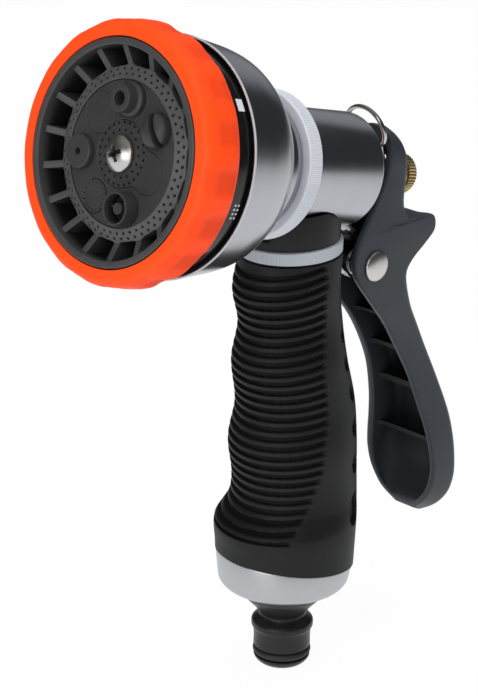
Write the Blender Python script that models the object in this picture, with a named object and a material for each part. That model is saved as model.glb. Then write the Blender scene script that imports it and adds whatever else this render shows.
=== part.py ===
"""Pistol-grip hose spray nozzle with a turning spray dial and a rear trigger.

The grip stands on +Z with the hose inlet's end face at the origin.  The barrel crosses the
top of the grip, tilted so that the spray leaves towards -Y and a little upwards.  Each piece is
one object.  Driving sizes are in millimetres; Blender works in metres, so every mesh is scaled
by MM when it is built.

Barrel pieces are made in the barrel's own frame: x to the side, y square to the barrel and
upwards, z along the barrel towards the spray.  The trigger is made in the same directions, from
its pivot.
"""

import math

import bmesh
import bpy
import numpy as np
from mathutils import Matrix, Vector

MM = 0.001
GAP = 0.3                       # clearance between two pieces that seat on each other

# ---------------------------------------------------------------- where the axes lie
AXIS_HEIGHT = 146.4             # barrel axis above the inlet end, on the grip's axis
BARREL_TILT = math.radians(14.25)
PIVOT_BACK = 32.1               # trigger pivot behind the grip's axis, along the barrel
PIVOT_DROP = 24.7               # trigger pivot below the barrel axis

# ---------------------------------------------------------------- faceting
LARGE = 36                      # sides of the bell, dial and ferrule
MEDIUM = 24                     # sides of the barrel and grip
SMALL = 14                      # sides of stems, pins and seals

# ---------------------------------------------------------------- body casting
BARREL_R = 15.7
BARREL_REAR = -19.7
BARREL_FRONT = 9.7
BARREL_CHAMFER = 0.6
SPIGOT_R = 12.0                 # threaded nose that the bell screws on
SPIGOT_LENGTH = 14.3
CHAMBER_R = 8.6
REAR_WALL = 4.2
HANDLE_R = 11.6                 # cast tube inside the grip
HANDLE_BORE_R = 8.0
LUG_HALF = 1.7                  # half thickness of the pivot lug
LUG_R = 5.2
LUG_BOSS_HALF = 2.3
PIN_R = 2.0

# ---------------------------------------------------------------- valve
SEAT_THICK = 3.0
SEAT_BORE_R = 4.6
SEAT_R = 9.2
PLUG_R = 6.9
PLUG_THICK = 2.3
STEM_R = 2.0
STEM_NOSE_R = 2.8
FLANGE_R = 6.2
FLANGE_THICK = 1.5
STEM_TAIL = 6.9                 # stem past the trigger's rear face
GLAND_ACROSS_CORNERS = 18.4
GLAND_HEAD = 3.3
GLAND_SHANK_R = 6.3
VALVE_WIRE_R = 0.6
VALVE_COIL_R = 5.2
VALVE_TURNS = 6.0

# ---------------------------------------------------------------- bell and rings
NECK_RING_R = 20.2
NECK_RING_WIDTH = 5.0
BELL_LIP = 48.0                 # front edge of the bell
BELL_REAR_R = 17.4
BELL_WALL = 1.8
BELL_PROFILE = ((17.4, 15.3), (17.9, 17.6), (17.7, 20.0), (18.6, 22.6), (21.4, 24.0), (23.9, 26.0),
                (25.7, 28.0), (28.1, 32.0), (29.4, 36.5), (30.3, 42.0), (31.2, 48.0))

# ---------------------------------------------------------------- dial
DIAL_FRONT = 67.0
DIAL_R = 28.6
DIAL_BORE_R = 26.7
BAND_R = 30.0                   # black band that carries the pattern marks
BAND_FRONT = 53.7
DIAL_FLOOR = 47.7
DIAL_FLOOR_THICK = 2.0
GRIP_RING_R = 33.6
GRIP_RING_FRONT = 66.2
SCOOPS = 18
SCOOP_DEPTH = 1.3
FACE_FRONT = 63.2
FACE_THICK = 2.0
FACE_R = 26.4
WINDOWS = 18
WINDOW_INNER_R = 22.3
WINDOW_SHARE = 0.80             # part of the pitch that is open
WINDOW_PHASE = 0.43             # keeps window corners off the plate's own facet lines
PATTERNS = 7                    # spray patterns round the dial
PATTERN_R = 13.9
FIRST_PATTERN = math.radians(35.6)
POST_R = 3.6
SCREW_HEAD_R = 4.65
SCREW_HEAD_HEIGHT = 2.6
SCREW_SHANK_R = 1.6
JET_R = 3.5
JET_PROUD = 5.0
FAN_R = 4.5
MIST_R = 4.3
CONE_R = 4.2
CONE_CORE_R = 1.5
SOAK_R = 4.2

# ---------------------------------------------------------------- selector inside the bell
PORT_PLATE_REAR = 44.3
PORT_PLATE_THICK = 3.0
PORT_PLATE_R = 26.0
PORT_R = 2.6
STATOR_FRONT = 43.0
STATOR_R = 27.4
STATOR_THICK = 11.0
STATOR_TUBE_R = 9.2
STATOR_TUBE_BORE_R = 7.0
SEAL_R = 3.6
SEAL_BORE_R = 2.1
DETENT_R = 21.0
BALL_R = 1.9

# ---------------------------------------------------------------- grip
RING_FOOT = 122.8               # lower face of the white trim ring
RING_HEIGHT = 3.5
RING_HALF_WIDTH = 13.4
RING_HALF_DEPTH = 14.9
COLLAR_INSET = 0.7              # black collar inside the ring's outline
COLLAR_TOP = 138.0
SLEEVE_WALL_MIN = 1.4
SLEEVE_FOOT = 32.3              # border with the ferrule, on the grip's axis
BORDER_SLOPE = 0.165            # the border falls towards the back
# height, mean radius, shift towards the back, how much deeper than wide
GRIP_SECTIONS = ((122.5, 14.2, 0.0, 0.7), (113.0, 14.7, -1.3, 0.7), (103.0, 14.3, 0.4, 0.7),
                 (92.0, 15.9, 0.4, 0.6), (79.0, 16.6, 3.0, 0.5), (68.0, 17.9, 2.4, 0.4),
                 (57.0, 17.5, 3.4, 0.3), (51.0, 18.3, 3.0, 0.2), (46.5, 20.0, 0.6, 0.1),
                 (35.0, 19.4, 0.3, 0.0), (28.0, 19.2, 0.2, 0.0))
RIB_PITCH = 2.7
RIB_DEPTH = 0.9
RIB_COUNT = 30
RIB_TOP = 120.6

# ---------------------------------------------------------------- ferrule and hose end
FERRULE_FOOT = 19.9
FERRULE_R = 19.1
FERRULE_ROUND = 7.2             # how far the rounded lower edge runs in,
FERRULE_ROUND_HEIGHT = 8.0      # and how far it runs up
FERRULE_FLOOR = 1.2
CONNECTOR_BORE_R = 4.6
CONNECTOR_FLANGE_R = 10.4
CONNECTOR_SPIGOT = 11.5
O_RING_GROOVE_R = 6.6
FILTER_THICK = 1.2

# ---------------------------------------------------------------- trigger
TRIGGER_WALL = 2.2
RIB_RECESS = 5.0                # stiffening ribs lie this far behind the rim
NUT_R = 5.5
NUT_LENGTH = 5.2
NUT_SET_BACK = 0.9              # the arm's back leans this far past its middle, across the nut
TRIGGER_SWING = math.radians(16.0)
# rim point, back point (each: behind the pivot, above it), half width, thickness of the web
TRIGGER_SECTIONS = (
    ((-2.5, 37.6), (0.4, 37.8), 2.4, 2.0), ((-2.6, 36.2), (2.4, 36.0), 5.4, 2.4),
    ((-2.7, 33.6), (4.6, 33.2), 7.7, 3.2), ((-2.6, 29.5), (6.5, 29.3), 8.5, 3.6),
    ((-2.7, 24.7), (7.4, 24.7), 8.5, 3.8), ((-4.4, 18.0), (8.2, 19.6), 8.5, 3.8),
    ((-5.9, 13.2), (9.3, 15.2), 8.5, 4.2), ((-6.7, 10.8), (12.8, 12.9), 8.5, 7.0),
    ((-7.6, 8.2), (20.2, 14.7), 8.5, 12.0), ((-8.3, 4.8), (22.6, 11.4), 8.5, 13.0),
    ((-8.5, 1.0), (19.6, 7.2), 8.5, 8.0), ((-7.4, -2.4), (17.0, 2.2), 8.5, 4.4),
    ((-4.4, -5.8), (16.2, -2.6), 8.5, 2.8), ((4.3, -12.0), (20.4, -10.5), 8.3, 2.4),
    ((11.6, -17.1), (25.6, -16.7), 7.9, 2.4), ((18.3, -23.2), (31.2, -23.2), 7.8, 2.4),
    ((25.6, -31.5), (38.4, -31.8), 8.6, 2.4), ((31.6, -41.2), (45.6, -41.8), 10.3, 2.4),
    ((35.2, -48.0), (48.8, -49.8), 11.9, 2.4), ((37.8, -54.4), (50.5, -57.0), 13.1, 2.4),
    ((39.5, -59.4), (51.4, -62.4), 13.3, 2.4), ((41.3, -65.0), (52.0, -67.8), 11.8, 2.4),
    ((43.3, -70.2), (51.6, -72.4), 8.4, 2.2), ((46.3, -74.2), (50.4, -75.2), 3.6, 1.6))
CHANNEL_TOP = 2.1               # section where the open channel starts
CHANNEL_FOOT = 22.3             # and where it ends, in the bowl of the paddle
RIB_SECTIONS = (13.7, 15.25, 16.45, 18.4)
RIB_SHARE = 0.10                # half thickness of a stiffening rib, in sections

# ---------------------------------------------------------------- hold-open clip
WIRE_R = 0.65
CLIP_BACK = -0.6                # clip hinge behind the trigger pivot
CLIP_RISE = 25.7                # and above it
CLIP_LEAN = math.radians(26.2)
CLIP_HEIGHT = 18.8
CLIP_LEG = 5.3
CLIP_ARCH_R = 7.0


# ================================================================ modelling helpers
def clear_scene():
    """Remove every object, so that the script gives the same model each run."""
    for item in list(bpy.data.objects):
        bpy.data.objects.remove(item, do_unlink=True)


def material(name, color, roughness, metallic=0.0):
    """Return a Principled material with the colour, roughness and metallic value given."""
    made = bpy.data.materials.new(name)
    made.use_nodes = True
    shader = made.node_tree.nodes["Principled BSDF"]
    shader.inputs["Base Color"].default_value = (*color, 1.0)
    shader.inputs["Roughness"].default_value = roughness
    shader.inputs["Metallic"].default_value = metallic
    return made


def axis_empty(name, location, rotation_x=0.0, parent=None):
    """Return an empty that stands on a joint's axis; location in millimetres."""
    empty = bpy.data.objects.new(name, None)
    bpy.context.scene.collection.objects.link(empty)
    empty.parent = parent
    empty.location = Vector(location) * MM
    empty.rotation_euler = (rotation_x, 0.0, 0.0)
    return empty


def place(name, shape, parent, finish=None):
    """Make an object from a bmesh in millimetres, with its faces pointing out."""
    bmesh.ops.transform(shape, matrix=Matrix.Scale(MM, 4), verts=shape.verts)
    bmesh.ops.recalc_face_normals(shape, faces=shape.faces)
    mesh = bpy.data.meshes.new(name)
    shape.to_mesh(mesh)
    shape.free()
    mesh.shade_smooth()
    mesh.set_sharp_from_angle(angle=math.radians(35.0))
    item = bpy.data.objects.new(name, mesh)
    bpy.context.scene.collection.objects.link(item)
    item.parent = parent
    if finish is not None:
        mesh.materials.append(finish)
    return item


def combine(target, tool, operation):
    """Add a live Boolean; the tool object is a guide and isn't part of the model."""
    tool.hide_render = True
    tool.display_type = "WIRE"
    step = target.modifiers.new(tool.name, "BOOLEAN")
    step.operation = operation
    step.solver = "EXACT"
    step.object = tool
    return target


def cut(target, name, shape, parent):
    """Cut a bmesh shape out of the target."""
    return combine(target, place(name, shape, parent), "DIFFERENCE")


def fuse(target, name, shape, parent):
    """Fuse a bmesh shape with the target."""
    return combine(target, place(name, shape, parent), "UNION")


def merged(*shapes):
    """Return one bmesh that holds several separate shapes."""
    whole = bmesh.new()
    for shape in shapes:
        mesh = bpy.data.meshes.new("part")
        shape.to_mesh(mesh)
        shape.free()
        whole.from_mesh(mesh)
        bpy.data.meshes.remove(mesh)
    return whole


def moved(shape, x=0.0, y=0.0, z=0.0):
    """Move a shape and return it."""
    bmesh.ops.translate(shape, vec=(x, y, z), verts=shape.verts)
    return shape


def turned(shape, angle, axis="Z"):
    """Turn a shape about an axis through its own origin and return it."""
    bmesh.ops.rotate(shape, cent=(0, 0, 0), matrix=Matrix.Rotation(angle, 3, axis), verts=shape.verts)
    return shape


def revolve(profile, sides):
    """Spin a profile of (radius, height) round z; it is closed, or starts and ends on the axis."""
    shape = bmesh.new()
    verts = [shape.verts.new((radius, 0.0, height)) for radius, height in profile]
    on_axis = profile[0][0] == 0.0 and profile[-1][0] == 0.0
    pairs = zip(verts, verts[1:] if on_axis else verts[1:] + verts[:1])
    edges = [shape.edges.new(pair) for pair in pairs]
    bmesh.ops.spin(shape, geom=verts + edges, cent=(0, 0, 0), axis=(0, 0, 1),
                   angle=2.0 * math.pi, steps=sides, use_merge=True)
    bmesh.ops.remove_doubles(shape, verts=shape.verts, dist=0.0005)
    return shape


def washer(inner, outer, low, high, sides):
    """Return a plain ring."""
    return revolve(((inner, low), (outer, low), (outer, high), (inner, high)), sides)


def rod(radius, low, high, sides):
    """Return a plain cylinder along z."""
    return revolve(((0.0, low), (radius, low), (radius, high), (0.0, high)), sides)


def soft_ring(inner, outer, low, high, sides):
    """Return a ring with rounded corners, for seals."""
    ease = 0.3 * min(outer - inner, high - low)
    return revolve(((inner, low), (outer - ease, low), (outer, low + ease), (outer, high - ease),
                    (outer - ease, high), (inner, high)), sides)


def loft(rings, wrap=False):
    """Join rings of equal point counts with quads; capped at both ends, or wrapped to the start."""
    shape = bmesh.new()
    rows = [[shape.verts.new(tuple(point)) for point in ring] for ring in rings]
    count = len(rows[0])
    following = rows[1:] + rows[:1] if wrap else rows[1:]
    for row, other in zip(rows, following):
        for i in range(count):
            j = (i + 1) % count
            shape.faces.new((row[i], row[j], other[j], other[i]))
    if not wrap:
        shape.faces.new(list(reversed(rows[0])))
        shape.faces.new(rows[-1])
    return shape


def prism(outline, low, high):
    """Extrude an outline of (x, y) from z = low to z = high."""
    return loft([[(x, y, height) for x, y in outline] for height in (low, high)])


def side_plate(outline, half):
    """Extrude an outline of (behind, above) sideways to both sides of the middle plane."""
    return loft([[(x, above, -behind) for behind, above in outline] for x in (-half, half)])


def cross_rod(radius, half, behind, above, sides=SMALL):
    """Return a cylinder along x through a point given as (behind, above)."""
    shape = turned(rod(radius, -half, half, sides), math.radians(90.0), "Y")
    return moved(shape, 0.0, above, -behind)


def ellipse(half_width, half_depth, shift, height, sides):
    """Return a level ring of points; shift is towards the back."""
    turn = np.linspace(0.0, 2.0 * np.pi, sides, endpoint=False)
    return np.stack([half_width * np.cos(turn), shift + half_depth * np.sin(turn),
                     np.full(sides, height)], axis=-1)


def smooth_rows(rows, positions):
    """Read a Catmull-Rom curve through rows of numbers at fractional row positions."""
    table = np.asarray(rows, float)
    last = len(table) - 1
    out = []
    for position in positions:
        i = min(int(position), last - 1)
        t = position - i
        before, start, end, after = (table[min(max(k, 0), last)] for k in (i - 1, i, i + 1, i + 2))
        out.append(0.5 * (2.0 * start + (end - before) * t
                          + (2.0 * before - 5.0 * start + 4.0 * end - after) * t ** 2
                          + (3.0 * start - before - 3.0 * end + after) * t ** 3))
    return np.array(out)


def tube(path, radius, sides):
    """Sweep a circle along a path of points and cap both ends."""
    points = np.asarray(path, float)
    ahead = np.gradient(points, axis=0)
    ahead /= np.linalg.norm(ahead, axis=1)[:, None]
    side = np.cross(ahead[0], (0.31, 0.12, 0.94))
    rings = []
    turn = np.linspace(0.0, 2.0 * np.pi, sides, endpoint=False)
    for point, direction in zip(points, ahead):
        side = side - direction * (side @ direction)
        side /= np.linalg.norm(side)
        other = np.cross(direction, side)
        rings.append(point + radius * (np.cos(turn)[:, None] * side + np.sin(turn)[:, None] * other))
    return loft(rings)


def coil(radius, wire, low, high, turns, sides=6, steps=8):
    """Return a compression spring whose wire lies between two heights, and its least gap."""
    count = int(turns * steps) + 1
    turn = np.linspace(0.0, 2.0 * np.pi * turns, count)
    height = np.linspace(low + wire, high - wire, count)
    path = np.stack([radius * np.cos(turn), radius * np.sin(turn), height], axis=-1)
    pitch_gap = (high - low - 2.0 * wire) / turns - 2.0 * wire
    return tube(path, wire, sides), pitch_gap


def around(radius, angle):
    """Return the point of a circle round the barrel's axis."""
    return radius * math.cos(angle), radius * math.sin(angle)


def pattern_angle(index):
    """Return the angle of a spray pattern on the dial."""
    return FIRST_PATTERN + index * 2.0 * math.pi / PATTERNS


# ================================================================ sizes that follow from others
NECK = BARREL_FRONT + GAP                     # rear face of the white neck ring
BELL_REAR = NECK + NECK_RING_WIDTH + GAP
SPIGOT_FRONT = BARREL_FRONT + SPIGOT_LENGTH
SEAT_REAR = SPIGOT_FRONT - 10.4
SEAT_FRONT = SEAT_REAR + SEAT_THICK
SEAT_SHOULDER = SEAT_REAR - GAP
PLUG_FRONT = SEAT_REAR - GAP
PLUG_REAR = PLUG_FRONT - PLUG_THICK
FLANGE_FRONT = PLUG_REAR - GAP
FLANGE_REAR = FLANGE_FRONT - FLANGE_THICK
GLAND_NOSE = BARREL_REAR + REAR_WALL + 2.0
GLAND_REAR = BARREL_REAR - GAP - GLAND_HEAD
TRIGGER_BACK = PIVOT_BACK + TRIGGER_SECTIONS[4][1][0]
NUT_FACE = TRIGGER_BACK + NUT_SET_BACK + GAP
STEM_REAR = -(TRIGGER_BACK + STEM_TAIL)
STATOR_REAR = STATOR_FRONT - STATOR_THICK
DIAL_REAR = STATOR_FRONT + 1.3
FERRULE_LIP = FERRULE_FOOT + FERRULE_FLOOR
CONNECTOR_TOP = FERRULE_FOOT - GAP + CONNECTOR_SPIGOT
HANDLE_FOOT = FERRULE_LIP + GAP


# ================================================================ fixed pieces
def body_casting(barrel, finish):
    """Barrel, grip tube and trigger lug, cast in one, with the water way bored through."""
    rear, front, nose = BARREL_REAR, BARREL_FRONT, SPIGOT_FRONT
    body = place("body_casting", revolve((
        (0.0, rear), (BARREL_R - BARREL_CHAMFER, rear), (BARREL_R, rear + BARREL_CHAMFER),
        (BARREL_R, front), (SPIGOT_R, front), (SPIGOT_R, nose), (0.0, nose)), MEDIUM), barrel, finish)
    fuse(body, "body_handle", rod(HANDLE_R, HANDLE_FOOT, AXIS_HEIGHT, MEDIUM), None)
    fuse(body, "body_lug", side_plate(lug_outline(), LUG_HALF), barrel)
    fuse(body, "body_boss", cross_rod(0.8 * LUG_R, LUG_BOSS_HALF, PIVOT_BACK, -PIVOT_DROP), barrel)
    cut(body, "body_bore", revolve((
        (0.0, rear - 1.0), (GLAND_SHANK_R + GAP, rear - 1.0), (GLAND_SHANK_R + GAP, rear + REAR_WALL),
        (CHAMBER_R, rear + REAR_WALL), (CHAMBER_R, SEAT_SHOULDER), (SEAT_R + GAP, SEAT_SHOULDER),
        (SEAT_R + GAP, nose + 1.0), (0.0, nose + 1.0)), MEDIUM), barrel)
    cut(body, "handle_bore", rod(HANDLE_BORE_R, HANDLE_FOOT - 1.0, AXIS_HEIGHT, 20), None)
    cut(body, "pin_hole", cross_rod(PIN_R + GAP, LUG_R, PIVOT_BACK, -PIVOT_DROP), barrel)
    return body


def lug_outline():
    """Outline of the pivot lug as (behind, above): from under the barrel, round the pivot."""
    reach = [(PIVOT_BACK + LUG_R * math.cos(a), -PIVOT_DROP + LUG_R * math.sin(a))
             for a in np.radians(np.linspace(60.0, -130.0, 9))]
    under = -BARREL_R + 2.5
    ring_top = -(AXIS_HEIGHT - RING_FOOT - 0.4) * math.cos(BARREL_TILT)
    hooked = [(-BARREL_REAR + 1.6, ring_top + 3.6), (-BARREL_REAR - 3.4, ring_top + 2.4)]
    return [(4.0, under), (-BARREL_REAR - 0.2, under)] + reach + hooked


def neck_ring(barrel, finish):
    """White trim ring between the barrel and the bell."""
    low, high = NECK, NECK + NECK_RING_WIDTH
    inner, outer = SPIGOT_R + GAP, NECK_RING_R
    return place("neck_ring", revolve(((inner, low), (outer - 0.7, low), (outer, low + 0.7),
                                       (outer, high - 0.7), (outer - 0.7, high), (inner, high)), LARGE),
                 barrel, finish)


def bell_housing(barrel, finish):
    """Flared chrome shell that holds the selector and the dial's rear edge."""
    outer = [(r, z) for r, z in BELL_PROFILE]
    outer[0] = (BELL_REAR_R, BELL_REAR)
    outer[-1] = (outer[-1][0], BELL_LIP)
    bore = SPIGOT_R + GAP
    floor = STATOR_REAR - GAP
    inner = [(outer[-1][0] - 1.2, BELL_LIP), (DIAL_R + 2.0 * GAP, BELL_LIP - 1.0),
             (DIAL_R + 2.0 * GAP, DIAL_REAR - GAP), (STATOR_R + GAP, STATOR_FRONT), (STATOR_R + GAP, floor + 6.0),
             (bore + 12.0, floor), (bore, floor)]
    return place("bell_housing", revolve(outer + inner + [(bore, BELL_REAR)], LARGE), barrel, finish)


def valve_seat(barrel, finish):
    """Ring that the valve plug closes on."""
    return place("valve_seat", revolve((
        (SEAT_BORE_R + 0.8, SEAT_REAR), (SEAT_R, SEAT_REAR), (SEAT_R, SEAT_FRONT),
        (SEAT_BORE_R, SEAT_FRONT), (SEAT_BORE_R, SEAT_REAR + 0.8)), 20), barrel, finish)


def gland_nut(barrel, finish):
    """Hexagonal nut that closes the valve chamber round the stem."""
    corner = 0.5 * GLAND_ACROSS_CORNERS
    hexagon = [around(corner, math.radians(30.0 + 60.0 * k)) for k in range(6)]
    nut = place("gland_nut", prism(hexagon, GLAND_REAR, BARREL_REAR - GAP), barrel, finish)
    fuse(nut, "gland_shank", rod(GLAND_SHANK_R, BARREL_REAR - GAP - 0.5, GLAND_NOSE, 20), barrel)
    pocket = GLAND_NOSE - 2.6
    cut(nut, "gland_bore", revolve((
        (0.0, GLAND_REAR - 1.0), (STEM_R + GAP, GLAND_REAR - 1.0), (STEM_R + GAP, pocket),
        (4.2, pocket), (4.2, GLAND_NOSE + 1.0), (0.0, GLAND_NOSE + 1.0)), SMALL), barrel)
    return nut


def gland_o_ring(barrel, finish):
    """Seal round the stem, in the gland's pocket."""
    low = GLAND_NOSE - 2.6 + GAP
    return place("gland_o_ring", soft_ring(STEM_R + GAP, 4.2 - GAP, low, low + 1.7, SMALL), barrel, finish)


def stator(barrel, finish):
    """Fixed manifold in the bell: takes the water to one port and carries the dial's post."""
    tube_rear = SEAT_FRONT + GAP
    rear, front = STATOR_REAR, STATOR_FRONT
    post = FACE_FRONT - GAP
    body = place("stator", revolve((
        (0.0, post), (POST_R, post), (POST_R, front), (STATOR_R, front), (STATOR_R, rear + 6.3),
        (STATOR_TUBE_R + 14.8, rear + 1.0), (STATOR_TUBE_R, rear), (STATOR_TUBE_R, tube_rear),
        (0.0, tube_rear)), MEDIUM), barrel, finish)
    chamber = PATTERN_R + SEAL_R
    cut(body, "stator_bore", revolve((
        (0.0, tube_rear - 1.0), (STATOR_TUBE_BORE_R, tube_rear - 1.0), (STATOR_TUBE_BORE_R, rear + 1.6),
        (chamber, rear + 2.6), (chamber, rear + 4.4), (0.0, rear + 4.4)), 24), barrel)
    x, y = around(PATTERN_R, pattern_angle(1))
    port = revolve(((0.0, rear + 4.0), (SEAL_BORE_R + 0.5, rear + 4.0), (SEAL_BORE_R + 0.5, rear + 5.4),
                    (SEAL_R + GAP, rear + 5.4), (SEAL_R + GAP, front + 1.0), (0.0, front + 1.0)), SMALL)
    u, v = around(DETENT_R, pattern_angle(1) + math.pi)
    detent = rod(BALL_R + GAP, front - 6.5, front + 1.0, SMALL)
    screw = rod(SCREW_SHANK_R + GAP, post - 14.0, post + 1.0, SMALL)
    cut(body, "stator_holes", merged(moved(port, x, y), moved(detent, u, v), screw), barrel)
    return body


def port_seal(barrel, finish):
    """Rubber sleeve that the dial's port plate slides on."""
    x, y = around(PATTERN_R, pattern_angle(1))
    low = STATOR_REAR + 8.6
    shape = soft_ring(SEAL_BORE_R, SEAL_R, low, PORT_PLATE_REAR - GAP, SMALL)
    return place("port_seal", moved(shape, x, y), barrel, finish)


def seal_spring(barrel, finish):
    """Spring that presses the port seal forwards."""
    x, y = around(PATTERN_R, pattern_angle(1))
    low = STATOR_REAR + 5.4 + GAP
    shape, _ = coil(SEAL_R - 0.5, 0.3, low, STATOR_REAR + 8.6 - GAP, 2.0, 5, 8)
    return place("seal_spring", moved(shape, x, y), barrel, finish)


def detent_ball(barrel, finish):
    """Ball that marks the dial's stops."""
    x, y = around(DETENT_R, pattern_angle(1) + math.pi)
    arc = np.radians(np.linspace(-90.0, 90.0, 7))
    profile = [(BALL_R * math.cos(a), BALL_R * math.sin(a)) for a in arc]
    profile[0] = (0.0, -BALL_R)
    profile[-1] = (0.0, BALL_R)
    centre = PORT_PLATE_REAR - GAP - BALL_R
    return place("detent_ball", moved(revolve(profile, 12), x, y, centre), barrel, finish)


def detent_spring(barrel, finish):
    """Spring behind the detent ball."""
    x, y = around(DETENT_R, pattern_angle(1) + math.pi)
    low = STATOR_FRONT - 6.5 + GAP
    high = PORT_PLATE_REAR - 2.0 * GAP - 2.0 * BALL_R
    shape, _ = coil(BALL_R - 0.5, 0.25, low, high, 3.0, 5, 8)
    return place("detent_spring", moved(shape, x, y), barrel, finish)


def dial_screw(barrel, finish):
    """Pan-head screw that holds the dial on the stator's post."""
    seat = FACE_FRONT + GAP
    arc = np.radians(np.linspace(12.0, 90.0, 5))
    dome = [(SCREW_HEAD_R * math.cos(a) / math.cos(arc[0]),
             seat + 0.7 + (SCREW_HEAD_HEIGHT - 0.7) * (math.sin(a) - math.sin(arc[0])) / (1.0 - math.sin(arc[0])))
            for a in arc]
    dome[-1] = (0.0, dome[-1][1])
    profile = [(0.0, seat - 13.0), (SCREW_SHANK_R, seat - 12.0), (SCREW_SHANK_R, seat), (SCREW_HEAD_R, seat)]
    screw = place("dial_screw", revolve(profile + dome, 20), barrel, finish)
    top = seat + SCREW_HEAD_HEIGHT
    bars = [(0.55, 2.3), (2.3, 0.55)]
    cross = [prism([(a, b), (-a, b), (-a, -b), (a, -b)], top - 1.5, top + 1.0) for a, b in bars]
    for index, bar in enumerate(cross):
        cut(screw, f"screw_recess_{index}", turned(bar, math.radians(20.0)), barrel)
    return screw


# ================================================================ grip
def grip_ring(finish):
    """White trim ring under the collar, split at the back round the lug."""
    high = RING_FOOT + RING_HEIGHT
    rings = [ellipse(RING_HALF_WIDTH, RING_HALF_DEPTH, 0.0, RING_FOOT, MEDIUM),
             ellipse(RING_HALF_WIDTH, RING_HALF_DEPTH, 0.0, high, MEDIUM),
             ellipse(HANDLE_R + GAP, HANDLE_R + GAP, 0.0, high, MEDIUM),
             ellipse(HANDLE_R + GAP, HANDLE_R + GAP, 0.0, RING_FOOT, MEDIUM)]
    ring = place("grip_trim_ring", loft(rings, wrap=True), None, finish)
    return cut(ring, "ring_split", lug_slot(RING_FOOT - 1.0, high + 1.0), None)


def lug_slot(low, high):
    """Slot at the back of the grip that lets the lug through."""
    half = LUG_HALF + GAP
    return prism([(-half, 0.5 * HANDLE_R), (half, 0.5 * HANDLE_R), (half, 30.0), (-half, 30.0)], low, high)


def handle_collar(barrel, finish):
    """Black collar between the trim ring and the barrel, cut to the barrel's curve."""
    low = RING_FOOT + RING_HEIGHT + GAP
    half_width, half_depth = RING_HALF_WIDTH - COLLAR_INSET, RING_HALF_DEPTH - COLLAR_INSET
    rings = [ellipse(half_width, half_depth, 0.0, low, MEDIUM),
             ellipse(half_width, half_depth, 0.0, COLLAR_TOP, MEDIUM),
             ellipse(HANDLE_R + GAP, HANDLE_R + GAP, 0.0, COLLAR_TOP, MEDIUM),
             ellipse(HANDLE_R + GAP, HANDLE_R + GAP, 0.0, low, MEDIUM)]
    collar = place("handle_collar", loft(rings, wrap=True), None, finish)
    cut(collar, "collar_split", lug_slot(low - 1.0, COLLAR_TOP + 1.0), None)
    cut(collar, "collar_saddle", revolve((
        (0.0, -40.0), (BARREL_R + GAP, -40.0), (BARREL_R + GAP, NECK - 2.0 * GAP),
        (NECK_RING_R + GAP, NECK - 2.0 * GAP), (NECK_RING_R + GAP, 60.0), (0.0, 60.0)), 40), barrel)
    return collar


def border_height(ring):
    """Height of the slanted border between sleeve and ferrule, at a ring's points."""
    return SLEEVE_FOOT - BORDER_SLOPE * ring[:, 1]


def grip_sleeve(finish):
    """Rubber sleeve: finger waves in front, ribs round the front half, a smooth spine."""
    heights = [row[0] for row in GRIP_SECTIONS]
    sides = 20
    stops = [(RIB_TOP - 0.5 * k * RIB_PITCH, k % 2) for k in range(2 * RIB_COUNT)]
    levels = [(heights[0], 0)] + stops + [(SLEEVE_FOOT + 2.6, 0)]
    rings = []
    for height, groove in levels:
        ring = grip_ring_at(height, sides)
        if groove:
            front = np.clip(-2.5 * np.sin(np.linspace(0.0, 2.0 * np.pi, sides, endpoint=False)) + 0.2, 0.0, 1.0)
            centre = np.array([0.0, ring[:, 1].mean(), height])
            outward = ring - centre
            outward /= np.linalg.norm(outward, axis=1)[:, None]
            ring = ring - RIB_DEPTH * front[:, None] * outward
        if height < SLEEVE_FOOT + 14.0:
            share = (SLEEVE_FOOT + 14.0 - height) / (14.0 - 2.6)
            ring[:, 2] -= BORDER_SLOPE * ring[:, 1] * share
        rings.append(ring)
    foot = grip_ring_at(SLEEVE_FOOT, sides)
    foot[:, 2] = border_height(foot) + GAP
    inner_foot = ellipse(HANDLE_R + GAP, HANDLE_R + GAP, 0.0, 0.0, sides)
    inner_foot[:, 2] = border_height(inner_foot) + GAP
    inner_top = ellipse(HANDLE_R + GAP, HANDLE_R + GAP, 0.0, heights[0], sides)
    return place("grip_sleeve", loft(rings + [foot, inner_foot, inner_top], wrap=True), None, finish)


def grip_ring_at(height, sides):
    """Cross-section of the sleeve at a height."""
    heights = [row[0] for row in GRIP_SECTIONS]
    position = float(np.interp(-height, [-h for h in heights], range(len(heights))))
    _, radius, shift, deeper = smooth_rows(GRIP_SECTIONS, [position])[0]
    return ellipse(radius - deeper, radius + deeper, shift, height, sides)


def end_ferrule(finish):
    """Chrome end cap of the grip, with a rounded lower edge and a slanted upper one."""
    sides = LARGE
    lip = CONNECTOR_FLANGE_R - 1.0
    turn = np.radians((0.0, 24.0, 46.0, 67.0, 90.0))
    foot_r = FERRULE_R - FERRULE_ROUND
    outer = [(foot_r + FERRULE_ROUND * math.sin(a), FERRULE_FOOT + FERRULE_ROUND_HEIGHT * (1.0 - math.cos(a)))
             for a in turn]
    rings = [ellipse(lip, lip, 0.0, FERRULE_FOOT, sides)]
    rings += [ellipse(r, r, 0.0, height, sides) for r, height in outer]
    top = ellipse(FERRULE_R + 0.1, FERRULE_R + 0.1, 0.0, 0.0, sides)
    top[:, 2] = border_height(top)
    inside = ellipse(HANDLE_R + GAP, HANDLE_R + GAP, 0.0, 0.0, sides)
    inside[:, 2] = border_height(inside)
    rings += [top, inside, ellipse(HANDLE_R + GAP, HANDLE_R + GAP, 0.0, FERRULE_LIP, sides),
              ellipse(lip, lip, 0.0, FERRULE_LIP, sides)]
    return place("end_ferrule", loft(rings, wrap=True), None, finish)


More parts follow.
